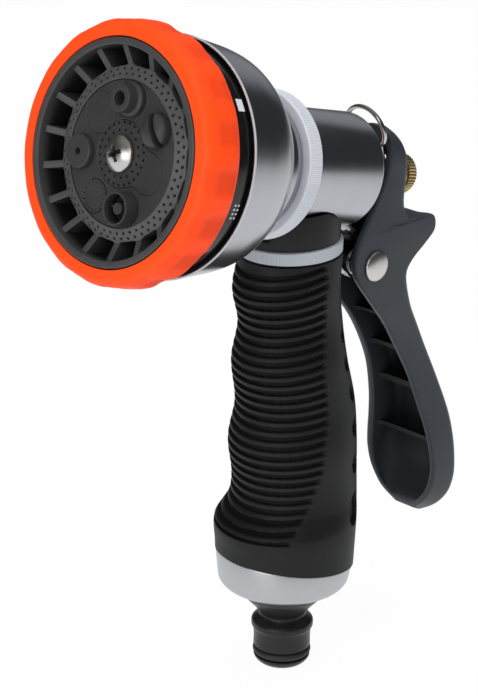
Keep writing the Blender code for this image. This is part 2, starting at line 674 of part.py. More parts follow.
def hose_connector(finish):
    """Quick-connect tail: sealing nose with an O-ring groove, latch collar and neck, flange."""
    bore = CONNECTOR_BORE_R
    flange_top = FERRULE_FOOT - GAP
    spigot = HANDLE_BORE_R - GAP
    return place("hose_connector", revolve((
        (bore, 0.0), (6.9, 0.0), (7.8, 0.9), (8.0, 2.1), (O_RING_GROOVE_R, 2.1), (O_RING_GROOVE_R, 4.9),
        (8.1, 4.9), (8.0, 8.0), (8.4, 10.6), (8.8, 11.2), (8.8, 12.8), (6.9, 14.4), (6.9, 16.2),
        (8.7, 17.8), (CONNECTOR_FLANGE_R, 18.9), (CONNECTOR_FLANGE_R, flange_top),
        (spigot, flange_top), (spigot, CONNECTOR_TOP), (bore, CONNECTOR_TOP)), MEDIUM), None, finish)


def connector_o_ring(finish):
    """O-ring in the connector's groove."""
    return place("connector_o_ring", soft_ring(O_RING_GROOVE_R + GAP, 8.3, 2.1 + GAP, 4.9 - GAP, MEDIUM),
                 None, finish)


def inlet_washer(finish):
    """Flat seal between the connector's flange and the grip tube."""
    return place("inlet_washer", washer(HANDLE_BORE_R + GAP, CONNECTOR_FLANGE_R - 1.0 - GAP, FERRULE_FOOT,
                                        HANDLE_FOOT - GAP, MEDIUM), None, finish)


def inlet_filter(finish):
    """Perforated disc over the connector's inner end."""
    low = CONNECTOR_TOP + GAP
    disc = place("inlet_filter", rod(HANDLE_BORE_R - GAP, low, low + FILTER_THICK, 20), None, finish)
    holes = [moved(rod(0.9, low - 1.0, low + FILTER_THICK + 1.0, 6), *around(4.4, math.radians(60.0 * k)))
             for k in range(6)]
    holes.append(rod(0.9, low - 1.0, low + FILTER_THICK + 1.0, 6))
    return cut(disc, "filter_holes", merged(*holes), None)


# ================================================================ dial
def dial_body(dial, finish):
    """Black dial: outer wall with the band for the marks, and a floor that seals on the plate."""
    rear, floor = DIAL_REAR, DIAL_FLOOR
    wall = DIAL_BORE_R
    hub = POST_R + GAP
    body = place("dial_body", revolve((
        (wall, rear), (DIAL_R, rear), (DIAL_R, BELL_LIP + GAP), (BAND_R, BELL_LIP + GAP),
        (BAND_R, BAND_FRONT), (DIAL_R, BAND_FRONT), (DIAL_R, DIAL_FRONT - 0.5), (DIAL_R - 0.5, DIAL_FRONT),
        (wall + 0.5, DIAL_FRONT), (wall, DIAL_FRONT - 0.8), (wall, floor + DIAL_FLOOR_THICK),
        (hub, floor + DIAL_FLOOR_THICK), (hub, floor), (wall, floor)), LARGE), dial, finish)
    holes = [moved(rod(PORT_R + GAP, floor - 1.0, floor + DIAL_FLOOR_THICK + 1.0, 10),
                   *around(PATTERN_R, pattern_angle(k))) for k in range(PATTERNS)]
    return cut(body, "dial_ports", merged(*holes), dial)


def port_plate(dial, finish):
    """Selector disc behind the dial: one port and one detent pocket for each pattern."""
    low, high = PORT_PLATE_REAR, PORT_PLATE_REAR + PORT_PLATE_THICK
    plate = place("port_plate", washer(POST_R + GAP, PORT_PLATE_R, low, high, MEDIUM), dial, finish)
    ports = [moved(rod(PORT_R, low - 1.0, high + 1.0, 10), *around(PATTERN_R, pattern_angle(k)))
             for k in range(PATTERNS)]
    pockets = [moved(rod(BALL_R + 0.2, low - 1.0, low + 0.8, 8), *around(DETENT_R, pattern_angle(k + 0.5)))
               for k in range(PATTERNS)]
    return cut(plate, "plate_holes", merged(*ports, *pockets), dial)


def dial_grip_ring(dial, finish):
    """Soft orange ring with finger scoops, round the front of the dial."""
    low, high = BAND_FRONT + GAP, GRIP_RING_FRONT
    inner = DIAL_R + GAP
    # radius below the crest and place along the ring's width; the scoops bite where weight is 1
    section = ((-3.2, 0.0, 0.2), (-1.0, 0.12, 0.8), (0.0, 0.34, 1.0), (0.0, 0.66, 1.0), (-1.2, 0.9, 0.7),
               (-2.8, 1.0, 0.2))
    columns = 3 * SCOOPS
    turn = np.linspace(0.0, 2.0 * np.pi, columns, endpoint=False)
    scoop = 0.5 + 0.5 * np.cos(SCOOPS * turn)
    rings = []
    for below, share, weight in section:
        radius = GRIP_RING_R + below - SCOOP_DEPTH * weight * scoop
        rings.append(np.stack([radius * np.cos(turn), radius * np.sin(turn),
                               np.full(columns, low + share * (high - low))], axis=-1))
    for height in (high, low):
        rings.append(np.stack([inner * np.cos(turn), inner * np.sin(turn), np.full(columns, height)], axis=-1))
    return place("dial_grip_ring", loft(rings, wrap=True), dial, finish)


def face_plate(dial, finish):
    """Front disc of the dial: ring of windows between ribs, seats for the spray inserts."""
    low, high = FACE_FRONT - FACE_THICK, FACE_FRONT
    plate = place("face_plate", revolve((
        (POST_R + GAP, low), (FACE_R, low), (FACE_R, high - 0.6), (WINDOW_INNER_R + 0.9, high - 0.2),
        (WINDOW_INNER_R + 0.4, high + 0.3), (18.8, high + 0.3), (18.4, high), (POST_R + GAP, high)), LARGE),
        dial, finish)
    half = WINDOW_SHARE * math.pi / WINDOWS
    windows = []
    for k in range(WINDOWS):
        middle = (k + WINDOW_PHASE) * 2.0 * math.pi / WINDOWS
        outline = [around(FACE_R + 1.0, middle - half), around(FACE_R + 1.0, middle + half),
                   around(WINDOW_INNER_R, middle + 0.9 * half), around(WINDOW_INNER_R - 0.7, middle),
                   around(WINDOW_INNER_R, middle - 0.9 * half)]
        windows.append(prism(outline, low - 1.0, high + 2.0))
    cut(plate, "face_windows", merged(*windows), dial)
    seats = [moved(rod(insert_tail(k) + GAP, low - 1.0, high + 2.0, SMALL), *around(PATTERN_R, pattern_angle(k)))
             for k in INSERTS]
    return cut(plate, "face_seats", merged(*seats), dial)


# spray inserts by pattern index: jet, mist, soaker, cone and fan
INSERTS = {1: JET_R, 3: MIST_R, 4: SOAK_R, 5: CONE_R, 0: FAN_R}


def insert_tail(index):
    """Radius of an insert's tail, which passes through the face plate."""
    return INSERTS[index] - 1.0


def insert(name, index, profile, bore, dial, finish, sides=SMALL):
    """One spray insert: a tail down to the dial's floor, a rim on the face and its own nozzle."""
    tail = insert_tail(index)
    foot = DIAL_FLOOR + DIAL_FLOOR_THICK + GAP
    rim = FACE_FRONT + GAP
    wall = 0.9
    outline = ([(tail - wall, foot), (tail, foot), (tail, rim), (INSERTS[index], rim)] + profile
               + [(bore, profile[-1][1]), (bore, rim + 0.2), (tail - wall, rim - 0.6)])
    return place(name, moved(revolve(outline, sides), *around(PATTERN_R, pattern_angle(index))), dial, finish)


def jet_insert(dial, finish):
    """Proud tube with a single round bore."""
    top = FACE_FRONT + JET_PROUD
    return insert("jet_insert", 1, [(JET_R, top - 0.8), (JET_R - 0.7, top)], 1.5, dial, finish)


def mist_insert(dial, finish):
    """Low drum with a fine bore."""
    top = FACE_FRONT + 2.0
    return insert("mist_insert", 3, [(MIST_R, top - 0.5), (MIST_R - 0.5, top)], 0.8, dial, finish)


def soak_insert(dial, finish):
    """Flush disc with a wide soft outlet."""
    return insert("soak_insert", 4, [(SOAK_R, FACE_FRONT + 0.7)], 0.8, dial, finish)


def cone_insert(dial, finish):
    """Open cup with a core pin on three spokes."""
    top = FACE_FRONT + 4.4
    cup = insert("cone_insert", 5, [(CONE_R, top - 0.4), (CONE_R - 0.4, top)], CONE_R - 1.0, dial, finish)
    x, y = around(PATTERN_R, pattern_angle(5))
    low = FACE_FRONT + 0.9
    fuse(cup, "cone_core", moved(rod(CONE_CORE_R, low, top - 1.0, 10), x, y), dial)
    for k in range(3):
        bar = prism([(0.6, -0.35), (CONE_R - 0.5, -0.35), (CONE_R - 0.5, 0.35), (0.6, 0.35)], low, low + 0.9)
        fuse(cup, f"cone_spoke_{k}", moved(turned(bar, math.radians(120.0 * k)), x, y), dial)
    return cup


def fan_insert(dial, finish):
    """Dome cut by a slot that spreads the water flat."""
    arc = np.radians(np.linspace(20.0, 75.0, 4))
    dome = [(FAN_R * math.cos(a), FACE_FRONT + 1.2 + 2.6 * math.sin(a)) for a in arc]
    fan = insert("fan_insert", 0, [(FAN_R, FACE_FRONT + 1.2)] + dome, 0.9, dial, finish)
    x, y = around(PATTERN_R, pattern_angle(0))
    slot = prism([(-0.7, -6.0), (0.7, -6.0), (0.7, 6.0), (-0.7, 6.0)], FACE_FRONT + 2.0, FACE_FRONT + 6.0)
    return cut(fan, "fan_slot", moved(turned(slot, math.radians(15.0)), x, y), dial)


# ================================================================ valve stem and its nut
def valve_stem(stem, finish):
    """Brass stem: nose through the plug, flange for the spring, rod out to the trigger."""
    nose = PLUG_FRONT + 1.6
    return place("valve_stem", revolve((
        (0.0, nose), (STEM_NOSE_R - 0.5, nose), (STEM_NOSE_R, nose - 0.5), (STEM_NOSE_R, FLANGE_FRONT),
        (FLANGE_R, FLANGE_FRONT), (FLANGE_R, FLANGE_REAR), (STEM_R, FLANGE_REAR), (STEM_R, STEM_REAR + 0.4),
        (STEM_R - 0.4, STEM_REAR), (0.0, STEM_REAR)), SMALL), stem, finish)


def valve_plug(stem, finish):
    """Rubber disc on the stem's nose."""
    return place("valve_plug", soft_ring(STEM_NOSE_R + GAP, PLUG_R, PLUG_REAR, PLUG_FRONT, 20), stem, finish)


def valve_spring(barrel, finish):
    """Compression spring that closes the valve and returns the trigger."""
    shape, gap = coil(VALVE_COIL_R, VALVE_WIRE_R, GLAND_NOSE + GAP, FLANGE_REAR - GAP, VALVE_TURNS)
    print(f"valve spring: least gap between turns {gap:.2f} mm")
    return place("valve_spring", shape, barrel, finish)


def adjusting_nut(stem, finish):
    """Knurled brass nut that the trigger pulls on; turning it sets the flow."""
    front, rear = -NUT_FACE, -(NUT_FACE + NUT_LENGTH)
    columns = 24
    turn = np.linspace(0.0, 2.0 * np.pi, columns, endpoint=False)
    knurl = 0.25 * (np.arange(columns) % 2)
    rings = []
    for radius, height, cut_in in ((NUT_R - 1.3, front, 0.0), (NUT_R - 0.5, front - 0.8, 0.0),
                                   (NUT_R - 0.5, front - 1.5, 0.0), (NUT_R, front - 1.7, 1.0),
                                   (NUT_R, rear + 0.7, 1.0), (NUT_R - 0.9, rear, 0.0),
                                   (STEM_R + GAP, rear, 0.0), (STEM_R + GAP, front, 0.0)):
        ring_r = radius - knurl * cut_in
        rings.append(np.stack([ring_r * np.cos(turn), ring_r * np.sin(turn), np.full(columns, height)], axis=-1))
    return place("adjusting_nut", loft(rings, wrap=True), stem, finish)


# ================================================================ trigger, pin and clip
def trigger_rows(positions):
    """Rim, back, half width and web of the trigger at fractional section positions."""
    rows = [(*rim, *back, half, web) for rim, back, half, web in TRIGGER_SECTIONS]
    return smooth_rows(rows, positions)


def trigger_blank():
    """Outside of the trigger: rounded sections from the arm's arch to the foot of the paddle."""
    last = len(TRIGGER_SECTIONS) - 1
    positions = np.arange(0.0, last + 0.01, 1.0)
    rings = []
    for rim_back, rim_up, back_back, back_up, half, _ in trigger_rows(positions):
        rim, back = np.array([rim_back, rim_up]), np.array([back_back, back_up])
        depth = np.linalg.norm(back - rim)
        rings.append(section_ring(rim, (back - rim) / depth, depth, half, 0.6, min(3.4, 0.6 * half, 0.45 * depth)))
    return loft(rings)


def section_ring(rim, direction, depth, half, front_round, back_round):
    """Rounded rectangle across the trigger, from the rim's corners to the rounded back."""
    corner = np.radians(np.linspace(0.0, 90.0, 4))
    right = [(half - front_round, 0.0), (half, front_round)]
    right += [(half - back_round * (1.0 - math.cos(a)), depth - back_round * (1.0 - math.sin(a))) for a in corner]
    outline = right + [(-x, d) for x, d in reversed(right)]
    points = []
    for x, deep in outline:
        behind, above = rim + direction * deep
        points.append((x, above, -behind))
    return points


def trigger_pocket(start, end, lift, recess, inset):
    """Cutter for part of the channel, between two section positions."""
    steps = max(2, int(math.ceil(end - start)) + 1)
    rings = []
    for rim_back, rim_up, back_back, back_up, half, web in trigger_rows(np.linspace(start, end, steps)):
        rim, back = np.array([rim_back, rim_up]), np.array([back_back, back_up])
        depth = np.linalg.norm(back - rim)
        direction = (back - rim) / depth
        inner = half - TRIGGER_WALL - inset
        floor = depth - web if recess is None else min(recess, depth - web - 0.4)
        ease = min(1.8, 0.4 * inner, 0.4 * floor)
        outline = [(inner, -lift), (inner, floor - ease), (inner - ease, floor),
                   (-inner + ease, floor), (-inner, floor - ease), (-inner, -lift)]
        points = []
        for x, deep in outline:
            behind, above = rim + direction * deep
            points.append((x, above, -behind))
        rings.append(points)
    return loft(rings)


def trigger(pivot, finish):
    """Rear trigger: arm round the stem, thumb horn, channelled lever with ribs, spoon paddle."""
    lever = place("trigger", trigger_blank(), pivot, finish)
    cut(lever, "trigger_channel", trigger_pocket(CHANNEL_TOP, CHANNEL_FOOT, 3.0, RIB_RECESS, 0.0), pivot)
    edges = [CHANNEL_TOP + 0.05]
    for rib in RIB_SECTIONS:
        edges += [rib - RIB_SHARE, rib + RIB_SHARE]
    edges.append(CHANNEL_FOOT - 0.25)
    pockets = [trigger_pocket(edges[k], edges[k + 1], -RIB_RECESS + 1.5, None, 0.12)
               for k in range(0, len(edges), 2)]
    cut(lever, "trigger_pockets", merged(*pockets), pivot)
    half = STEM_R + 0.5
    stem_slot = prism([(-half, PIVOT_DROP - half), (half, PIVOT_DROP - half),
                       (half, PIVOT_DROP + half + 3.2), (-half, PIVOT_DROP + half + 3.2)], -14.0, 1.0)
    cut(lever, "stem_slot", stem_slot, pivot)
    cut(lever, "lever_pin_hole", cross_rod(PIN_R + GAP, 12.0, 0.0, 0.0), pivot)
    cut(lever, "clip_sockets", cross_rod(WIRE_R + GAP, 7.8, CLIP_BACK, CLIP_RISE, 8), pivot)
    return lever


def trigger_pin(pivot, finish):
    """Rivet through the trigger's cheeks and the lug, with a domed head on each side."""
    cheek = TRIGGER_SECTIONS[10][2]
    head = cheek + GAP
    profile = [(0.0, -head - 1.3), (2.2, -head - 1.0), (3.8, -head - 0.5), (4.2, -head), (PIN_R, -head)]
    outline = profile + [(r, -z) for r, z in reversed(profile)]
    return place("trigger_pin", turned(revolve(outline, 20), math.radians(90.0), "Y"), pivot, finish)


def lock_clip(hinge, finish):
    """Spring wire bail that holds the trigger open: feet in the cheeks, legs, arch on top."""
    arch_height = CLIP_HEIGHT - CLIP_ARCH_R
    leg = [(7.4, 0.0), (6.2, 0.0), (5.5, 0.25), (CLIP_LEG, 0.95), (CLIP_LEG, 4.0), (CLIP_LEG + 0.1, 7.6),
           (CLIP_ARCH_R - 0.45, arch_height - 1.9)]
    arch = [(CLIP_ARCH_R * math.cos(a), arch_height + CLIP_ARCH_R * math.sin(a))
            for a in np.radians(np.linspace(0.0, 90.0, 6))]
    half = leg + arch
    outline = half + [(-x, t) for x, t in reversed(half[:-1])]
    path = [(x, t * math.cos(CLIP_LEAN), t * math.sin(CLIP_LEAN)) for x, t in outline]
    return place("lock_clip", tube(path, WIRE_R, 8), hinge, finish)


# ================================================================ the whole nozzle
def main():
    """Build every piece in its place."""
    clear_scene()
    chrome = material("satin_chrome", (0.62, 0.63, 0.65), 0.28, 1.0)
    cap_chrome = material("ferrule_chrome", (0.66, 0.67, 0.69), 0.26, 1.0)
    brass = material("brass", (0.62, 0.42, 0.14), 0.3, 1.0)
    steel = material("steel", (0.6, 0.6, 0.6), 0.22, 1.0)
    white = material("white_trim", (0.6, 0.65, 0.7), 0.45)
    black = material("dial_black", (0.035, 0.035, 0.036), 0.42)
    orange = material("orange_rubber", (1.0, 0.1, 0.015), 0.5)
    rubber = material("grip_rubber", (0.018, 0.018, 0.018), 0.6)
    grey = material("trigger_grey", (0.05, 0.056, 0.064), 0.45)
    natural = material("natural_acetal", (0.75, 0.74, 0.68), 0.4)
    seal = material("seal_rubber", (0.02, 0.02, 0.02), 0.7)

    barrel = axis_empty("barrel_axis", (0.0, 0.0, AXIS_HEIGHT), math.radians(90.0) - BARREL_TILT)
    dial = axis_empty("dial_axis", (0.0, 0.0, 0.0), parent=barrel)
    stem = axis_empty("stem_axis", (0.0, 0.0, 0.0), parent=barrel)
    pivot = axis_empty("trigger_axis", (0.0, -PIVOT_DROP, -PIVOT_BACK), parent=barrel)
    hinge = axis_empty("clip_axis", (0.0, CLIP_RISE, -CLIP_BACK), parent=pivot)

    body_casting(barrel, chrome)
    neck_ring(barrel, white)
    bell_housing(barrel, chrome)
    valve_seat(barrel, natural)
    gland_nut(barrel, brass)
    gland_o_ring(barrel, seal)
    stator(barrel, natural)
    port_seal(barrel, seal)
    seal_spring(barrel, steel)
    detent_ball(barrel, steel)
    detent_spring(barrel, steel)
    dial_screw(barrel, steel)
    grip_ring(white)
    handle_collar(barrel, black)
    grip_sleeve(rubber)
    end_ferrule(cap_chrome)
    hose_connector(black)
    connector_o_ring(seal)
    inlet_washer(seal)
    inlet_filter(natural)

    dial_body(dial, black)
    port_plate(dial, natural)
    dial_grip_ring(dial, orange)
    face_plate(dial, black)
    jet_insert(dial, black)
    mist_insert(dial, black)
    soak_insert(dial, black)
    cone_insert(dial, black)
    fan_insert(dial, black)

    valve_stem(stem, brass)
    valve_plug(stem, seal)
    valve_spring(barrel, steel)
    adjusting_nut(stem, brass)

    trigger(pivot, grey)
    trigger_pin(pivot, steel)
    lock_clip(hinge, steel)


main()
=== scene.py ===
"""Looks of a pistol-grip hose spray nozzle: fine surfaces, finishes, a plain studio and its camera.

Every piece is a surface worked out on a grid of two parameters.  Sizes are in millimetres in the
piece's own frame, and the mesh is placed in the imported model's frame in metres.
"""

import logging
import math
from dataclasses import dataclass, field
from enum import Enum
from typing import Any, Callable, Sequence

import bmesh
import bpy
import numpy as np
from mathutils import Matrix, Vector


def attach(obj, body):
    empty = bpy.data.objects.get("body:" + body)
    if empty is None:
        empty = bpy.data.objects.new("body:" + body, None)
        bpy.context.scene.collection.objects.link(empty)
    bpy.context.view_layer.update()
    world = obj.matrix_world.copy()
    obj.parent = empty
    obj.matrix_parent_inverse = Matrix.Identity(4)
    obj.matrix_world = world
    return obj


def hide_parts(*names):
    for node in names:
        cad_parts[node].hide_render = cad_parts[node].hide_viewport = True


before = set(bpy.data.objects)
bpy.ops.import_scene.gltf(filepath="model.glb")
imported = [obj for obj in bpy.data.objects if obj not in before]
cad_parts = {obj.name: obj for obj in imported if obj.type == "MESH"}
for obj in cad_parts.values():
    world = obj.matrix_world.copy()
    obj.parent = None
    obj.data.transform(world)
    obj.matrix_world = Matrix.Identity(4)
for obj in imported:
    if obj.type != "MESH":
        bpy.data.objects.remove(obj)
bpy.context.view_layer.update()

MM = 0.001
CREASE = 34.0                       # degrees; sharper edges are shaded crisp
LOG = logging.getLogger("nozzle")
Array = np.ndarray
Triple = tuple[float, float, float]
Colour = Triple


# ================================================================ frames
@dataclass(frozen=True)
class Axes:
    """A right-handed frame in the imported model; its origin is in millimetres."""

    origin: tuple[float, float, float] = (0.0, 0.0, 0.0)
    tilt: float = 0.0               # turn of the y and z axes about the x axis, in radians

    def rows(self) -> Array:
        """Return the frame's x, y and z directions as rows."""
        c, s = math.cos(self.tilt), math.sin(self.tilt)
        return np.array([[1.0, 0.0, 0.0], [0.0, c, s], [0.0, -s, c]])

    def place(self, points: Array) -> Array:
        """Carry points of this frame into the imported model's frame."""
        return np.asarray(self.origin) + points @ self.rows()

    def moved(self, x: float = 0.0, y: float = 0.0, z: float = 0.0) -> "Axes":
        """Return the frame with its origin moved along its own axes."""
        return Axes(tuple(self.place(np.array([x, y, z]))), self.tilt)


AXIS_HEIGHT = 146.4                 # barrel axis above the inlet's end face
BARREL_TILT = math.radians(14.25)
RING_FOOT = 122.8                   # foot of the white ring on top of the grip
GAP = 0.3

GRIP = Axes()
BARREL = Axes((0.0, 0.0, AXIS_HEIGHT), math.radians(90.0) - BARREL_TILT)
PIVOT = BARREL.moved(y=-24.7, z=-32.1)
HINGE = PIVOT.moved(y=25.7, z=0.6)


# ================================================================ surfaces
@dataclass
class Surface:
    """Points in millimetres, and quads that index them."""

    points: Array
    quads: Array
    recess: Array                   # 0 on open surface to 1 in the depth of a recess, per point

    def __add__(self, other: "Surface") -> "Surface":
        """Hold two surfaces as one, without joining them."""
        return Surface(np.concatenate([self.points, other.points]),
                       np.concatenate([self.quads, other.quads + len(self.points)]),
                       np.concatenate([self.recess, other.recess]))

    def shifted(self, x: float = 0.0, y: float = 0.0, z: float = 0.0) -> "Surface":
        """Return the surface moved by x, y and z."""
        return Surface(self.points + np.array([x, y, z]), self.quads, self.recess)

    def spun(self, angle: float) -> "Surface":
        """Return the surface turned about its z axis."""
        c, s = math.cos(angle), math.sin(angle)
        turn = np.array([[c, s, 0.0], [-s, c, 0.0], [0.0, 0.0, 1.0]])
        return Surface(self.points @ turn, self.quads, self.recess)

    def laid(self) -> "Surface":
        """Return the surface with its z axis turned to x."""
        return Surface(self.points[:, [2, 0, 1]], self.quads, self.recess)


def weave(grid: Array, around: bool = True, along: bool = False, caps: bool = True) -> Surface:
    """Join a grid of points with quads.

    Args:
        grid: points as an array of rows by columns by 3, or by 4 with each point's recess.
        around: each row closes on itself.
        along: the last row joins the first.
        caps: the first and last rows are closed, each to its own middle.

    Returns:
        The surface; its quads are (i, j), (i, j+1), (i+1, j+1), (i+1, j).
    """
    if caps and not along:
        first, last = (np.repeat(grid[k].mean(axis=0, keepdims=True), grid.shape[1], axis=0)[None]
                       for k in (0, -1))
        grid = np.concatenate([first, grid, last])
    rows, columns = grid.shape[:2]
    index = np.arange(rows * columns).reshape(rows, columns)
    if along:
        index = np.concatenate([index, index[:1]])
    if around:
        index = np.concatenate([index, index[:, :1]], axis=1)
    quads = np.stack([index[:-1, :-1], index[:-1, 1:], index[1:, 1:], index[1:, :-1]], axis=-1)
    recess = grid[..., 3].ravel() if grid.shape[2] == 4 else np.zeros(rows * columns)
    return Surface(grid[..., :3].reshape(-1, 3), quads.reshape(-1, 4), recess)


def together(parts: Sequence[Surface]) -> Surface:
    """Hold several surfaces as one, in their order."""
    whole = parts[0]
    for part in parts[1:]:
        whole = whole + part
    return whole


def ring_points(radius: Array | float, angle: Array, height: Array | float) -> Array:
    """Return (r cos a, r sin a, z) at each angle; radius and height may change with the angle."""
    return np.column_stack([radius * np.cos(angle), radius * np.sin(angle), height + 0.0 * angle])


def marked(grid: Array, recess: Array | float = 0.0) -> Array:
    """Add each point's recess to a grid of points."""
    return np.concatenate([grid, np.broadcast_to(recess, grid.shape[:-1])[..., None]], axis=-1)


def ease(edge: Array | float, low: float, high: float) -> Array:
    """Return the smooth step 3t^2 - 2t^3, with t running from 0 at low to 1 at high."""
    t = np.clip((np.asarray(edge) - low) / (high - low), 0.0, 1.0)
    return t * t * (3.0 - 2.0 * t)


def softened(corners: Sequence[tuple[float, ...]], steps: int = 5, closed: bool = True) -> Array:
    """Round the corners of an outline.

    A corner c gives way to (1-t)^2 a + 2t(1-t) c + t^2 b, where a and b lie on the two edges at the
    corner's ease, at most 0.48 of an edge away from it.

    Args:
        corners: rows of (u, v) or (u, v, ease).
        steps: points on each rounded corner.
        closed: the outline closes on itself; if not, its two ends stay as they are.

    Returns:
        Points of the outline, without repeats.
    """
    table = np.array([(*c, 0.0)[:3] for c in corners])
    place, reach = table[:, :2], table[:, 2].copy()
    if not closed:
        reach[[0, -1]] = 0.0
    back, ahead = np.roll(place, 1, axis=0) - place, np.roll(place, -1, axis=0) - place
    back_length = np.linalg.norm(back, axis=1)[:, None] + 1e-9
    ahead_length = np.linalg.norm(ahead, axis=1)[:, None] + 1e-9
    start = place + back / back_length * np.minimum(reach[:, None], 0.48 * back_length)
    end = place + ahead / ahead_length * np.minimum(reach[:, None], 0.48 * ahead_length)
    t = np.linspace(0.0, 1.0, steps)[None, :, None]
    curve = (1 - t) ** 2 * start[:, None] + 2 * t * (1 - t) * place[:, None] + t ** 2 * end[:, None]
    points = curve.reshape(-1, 2)
    step = np.linalg.norm(points - np.roll(points, 1, axis=0), axis=1)
    return points[step > 1e-4]


def catmull(rows: Sequence[Sequence[float]], positions: Array) -> Array:
    """Read the Catmull-Rom curve through rows of numbers at fractional row positions.

    Between rows b and c, with a before and d after, the curve is half of
    2b + (c-a)t + (2a-5b+4c-d)t^2 + (3b-a-3c+d)t^3.

    Args:
        rows: equally long rows of numbers.
        positions: where to read, 0 at the first row and n at row n.

    Returns:
        A row of numbers for each position.
    """
    table = np.asarray(rows, float)
    last = len(table) - 1
    i = np.clip(np.floor(positions).astype(int), 0, last - 1)
    t = (np.asarray(positions) - i)[:, None]
    a, b, c, d = (table[np.clip(i + k, 0, last)] for k in (-1, 0, 1, 2))
    return 0.5 * (2 * b + (c - a) * t + (2 * a - 5 * b + 4 * c - d) * t ** 2
                  + (3 * b - a - 3 * c + d) * t ** 3)


def circle(columns: int) -> Array:
    """Return the angles of equal columns round a full turn."""
    return np.linspace(0.0, 2.0 * np.pi, columns, endpoint=False)


def turned(profile: Array, columns: int = 96, ripple: Callable[[Array, Array], Array] | None = None,
           closed: bool = True) -> Surface:
    """Turn a profile of (radius, height) about the z axis: (r cos a, r sin a, z).

    Args:
        profile: points of the profile, with a recess too if it has three columns; a closed one makes
            a ring, an open one is capped.
        columns: columns round the axis.
        ripple: gives what is taken off the radius at each (profile row, angle).
        closed: the profile closes on itself.

    Returns:
        The turned surface.
    """
    angle = circle(columns)
    radius = np.repeat(profile[:, :1], columns, axis=1)
    sunk = np.zeros_like(radius) if ripple is None else ripple(profile, angle)
    radius = radius - sunk
    grid = np.stack([radius * np.cos(angle), radius * np.sin(angle),
                     np.repeat(profile[:, 1:2], columns, axis=1)], axis=-1)
    # painted shade: a profile's third column, or else the ripple's depth, sets the recess mark by which the
    # finish darkens grooves, knurls, teeth and scoops
    if profile.shape[1] == 3:
        recess = np.repeat(profile[:, 2:3], columns, axis=1)
    else:
        recess = sunk / max(sunk.max(), 1e-6)
    return weave(marked(grid, recess), around=True, along=closed, caps=not closed)


def piped(path: Array, radius: float, columns: int = 16) -> Surface:
    """Carry a circle along a path that lies in one plane.

    The circle's two axes are the plane's normal and its product with the path's direction.

    Args:
        path: points of the path.
        radius: the circle's radius.
        columns: points round the circle.

    Returns:
        The tube, closed at both ends.
    """
    ahead = np.gradient(path, axis=0)
    ahead /= np.linalg.norm(ahead, axis=1)[:, None]
    flat = np.linalg.svd(path - path.mean(axis=0))[2][2]
    side = np.cross(ahead, flat)
    angle = circle(columns)[None, :, None]
    grid = path[:, None] + radius * (np.cos(angle) * flat + np.sin(angle) * side[:, None])
    return weave(grid)


def slab(outline: Array, low: float, high: float, edge: float = 0.0) -> Surface:
    """Extrude an outline from low to high, with a small bevel at its upper edge.

    Args:
        outline: points of (x, y).
        low: height of the foot.
        high: height of the top.
        edge: how far the top is drawn in.

    Returns:
        The closed slab.
    """
    centre = outline.mean(axis=0)
    reach = np.linalg.norm(outline - centre, axis=1, keepdims=True)
    inner = outline - (outline - centre) / reach * edge
    levels = ((outline, low), (outline, high - edge), (inner, high))
    grid = np.stack([np.column_stack([ring, np.full(len(ring), height)]) for ring, height in levels])
    return weave(grid)


# ================================================================ shader wiring
class Signal:
    """A number socket that takes Python arithmetic; each operator adds a Math node."""

    def __init__(self, sheet: "Sheet", socket: bpy.types.NodeSocket) -> None:
        """Hold a socket and the sheet it lies on."""
        self.sheet, self.socket = sheet, socket

    def _math(self, operation: str, *values: Any) -> "Signal":
        """Add a Math node on the values and return its result."""
        node = self.sheet.node("ShaderNodeMath", {"operation": operation}, dict(enumerate(values)))
        return Signal(self.sheet, node.outputs[0])

    def __add__(self, other: Any) -> "Signal":
        """Return self + other."""
        return self._math("ADD", self, other)

    def __radd__(self, other: Any) -> "Signal":
        """Return other + self."""
        return self._math("ADD", other, self)

    def __sub__(self, other: Any) -> "Signal":
        """Return self - other."""
        return self._math("SUBTRACT", self, other)

    def __rsub__(self, other: Any) -> "Signal":
        """Return other - self."""
        return self._math("SUBTRACT", other, self)

    def __mul__(self, other: Any) -> "Signal":
        """Return self * other."""
        return self._math("MULTIPLY", self, other)

    def __rmul__(self, other: Any) -> "Signal":
        """Return other * self."""
        return self._math("MULTIPLY", other, self)

    def ramp(self, low: float, high: float) -> "Signal":
        """Return 0 below low, 1 above high and a smooth step between."""
        node = self.sheet.node("ShaderNodeMapRange", {"interpolation_type": "SMOOTHSTEP"},
                               {"Value": self, "From Min": low, "From Max": high})
        return Signal(self.sheet, node.outputs["Result"])


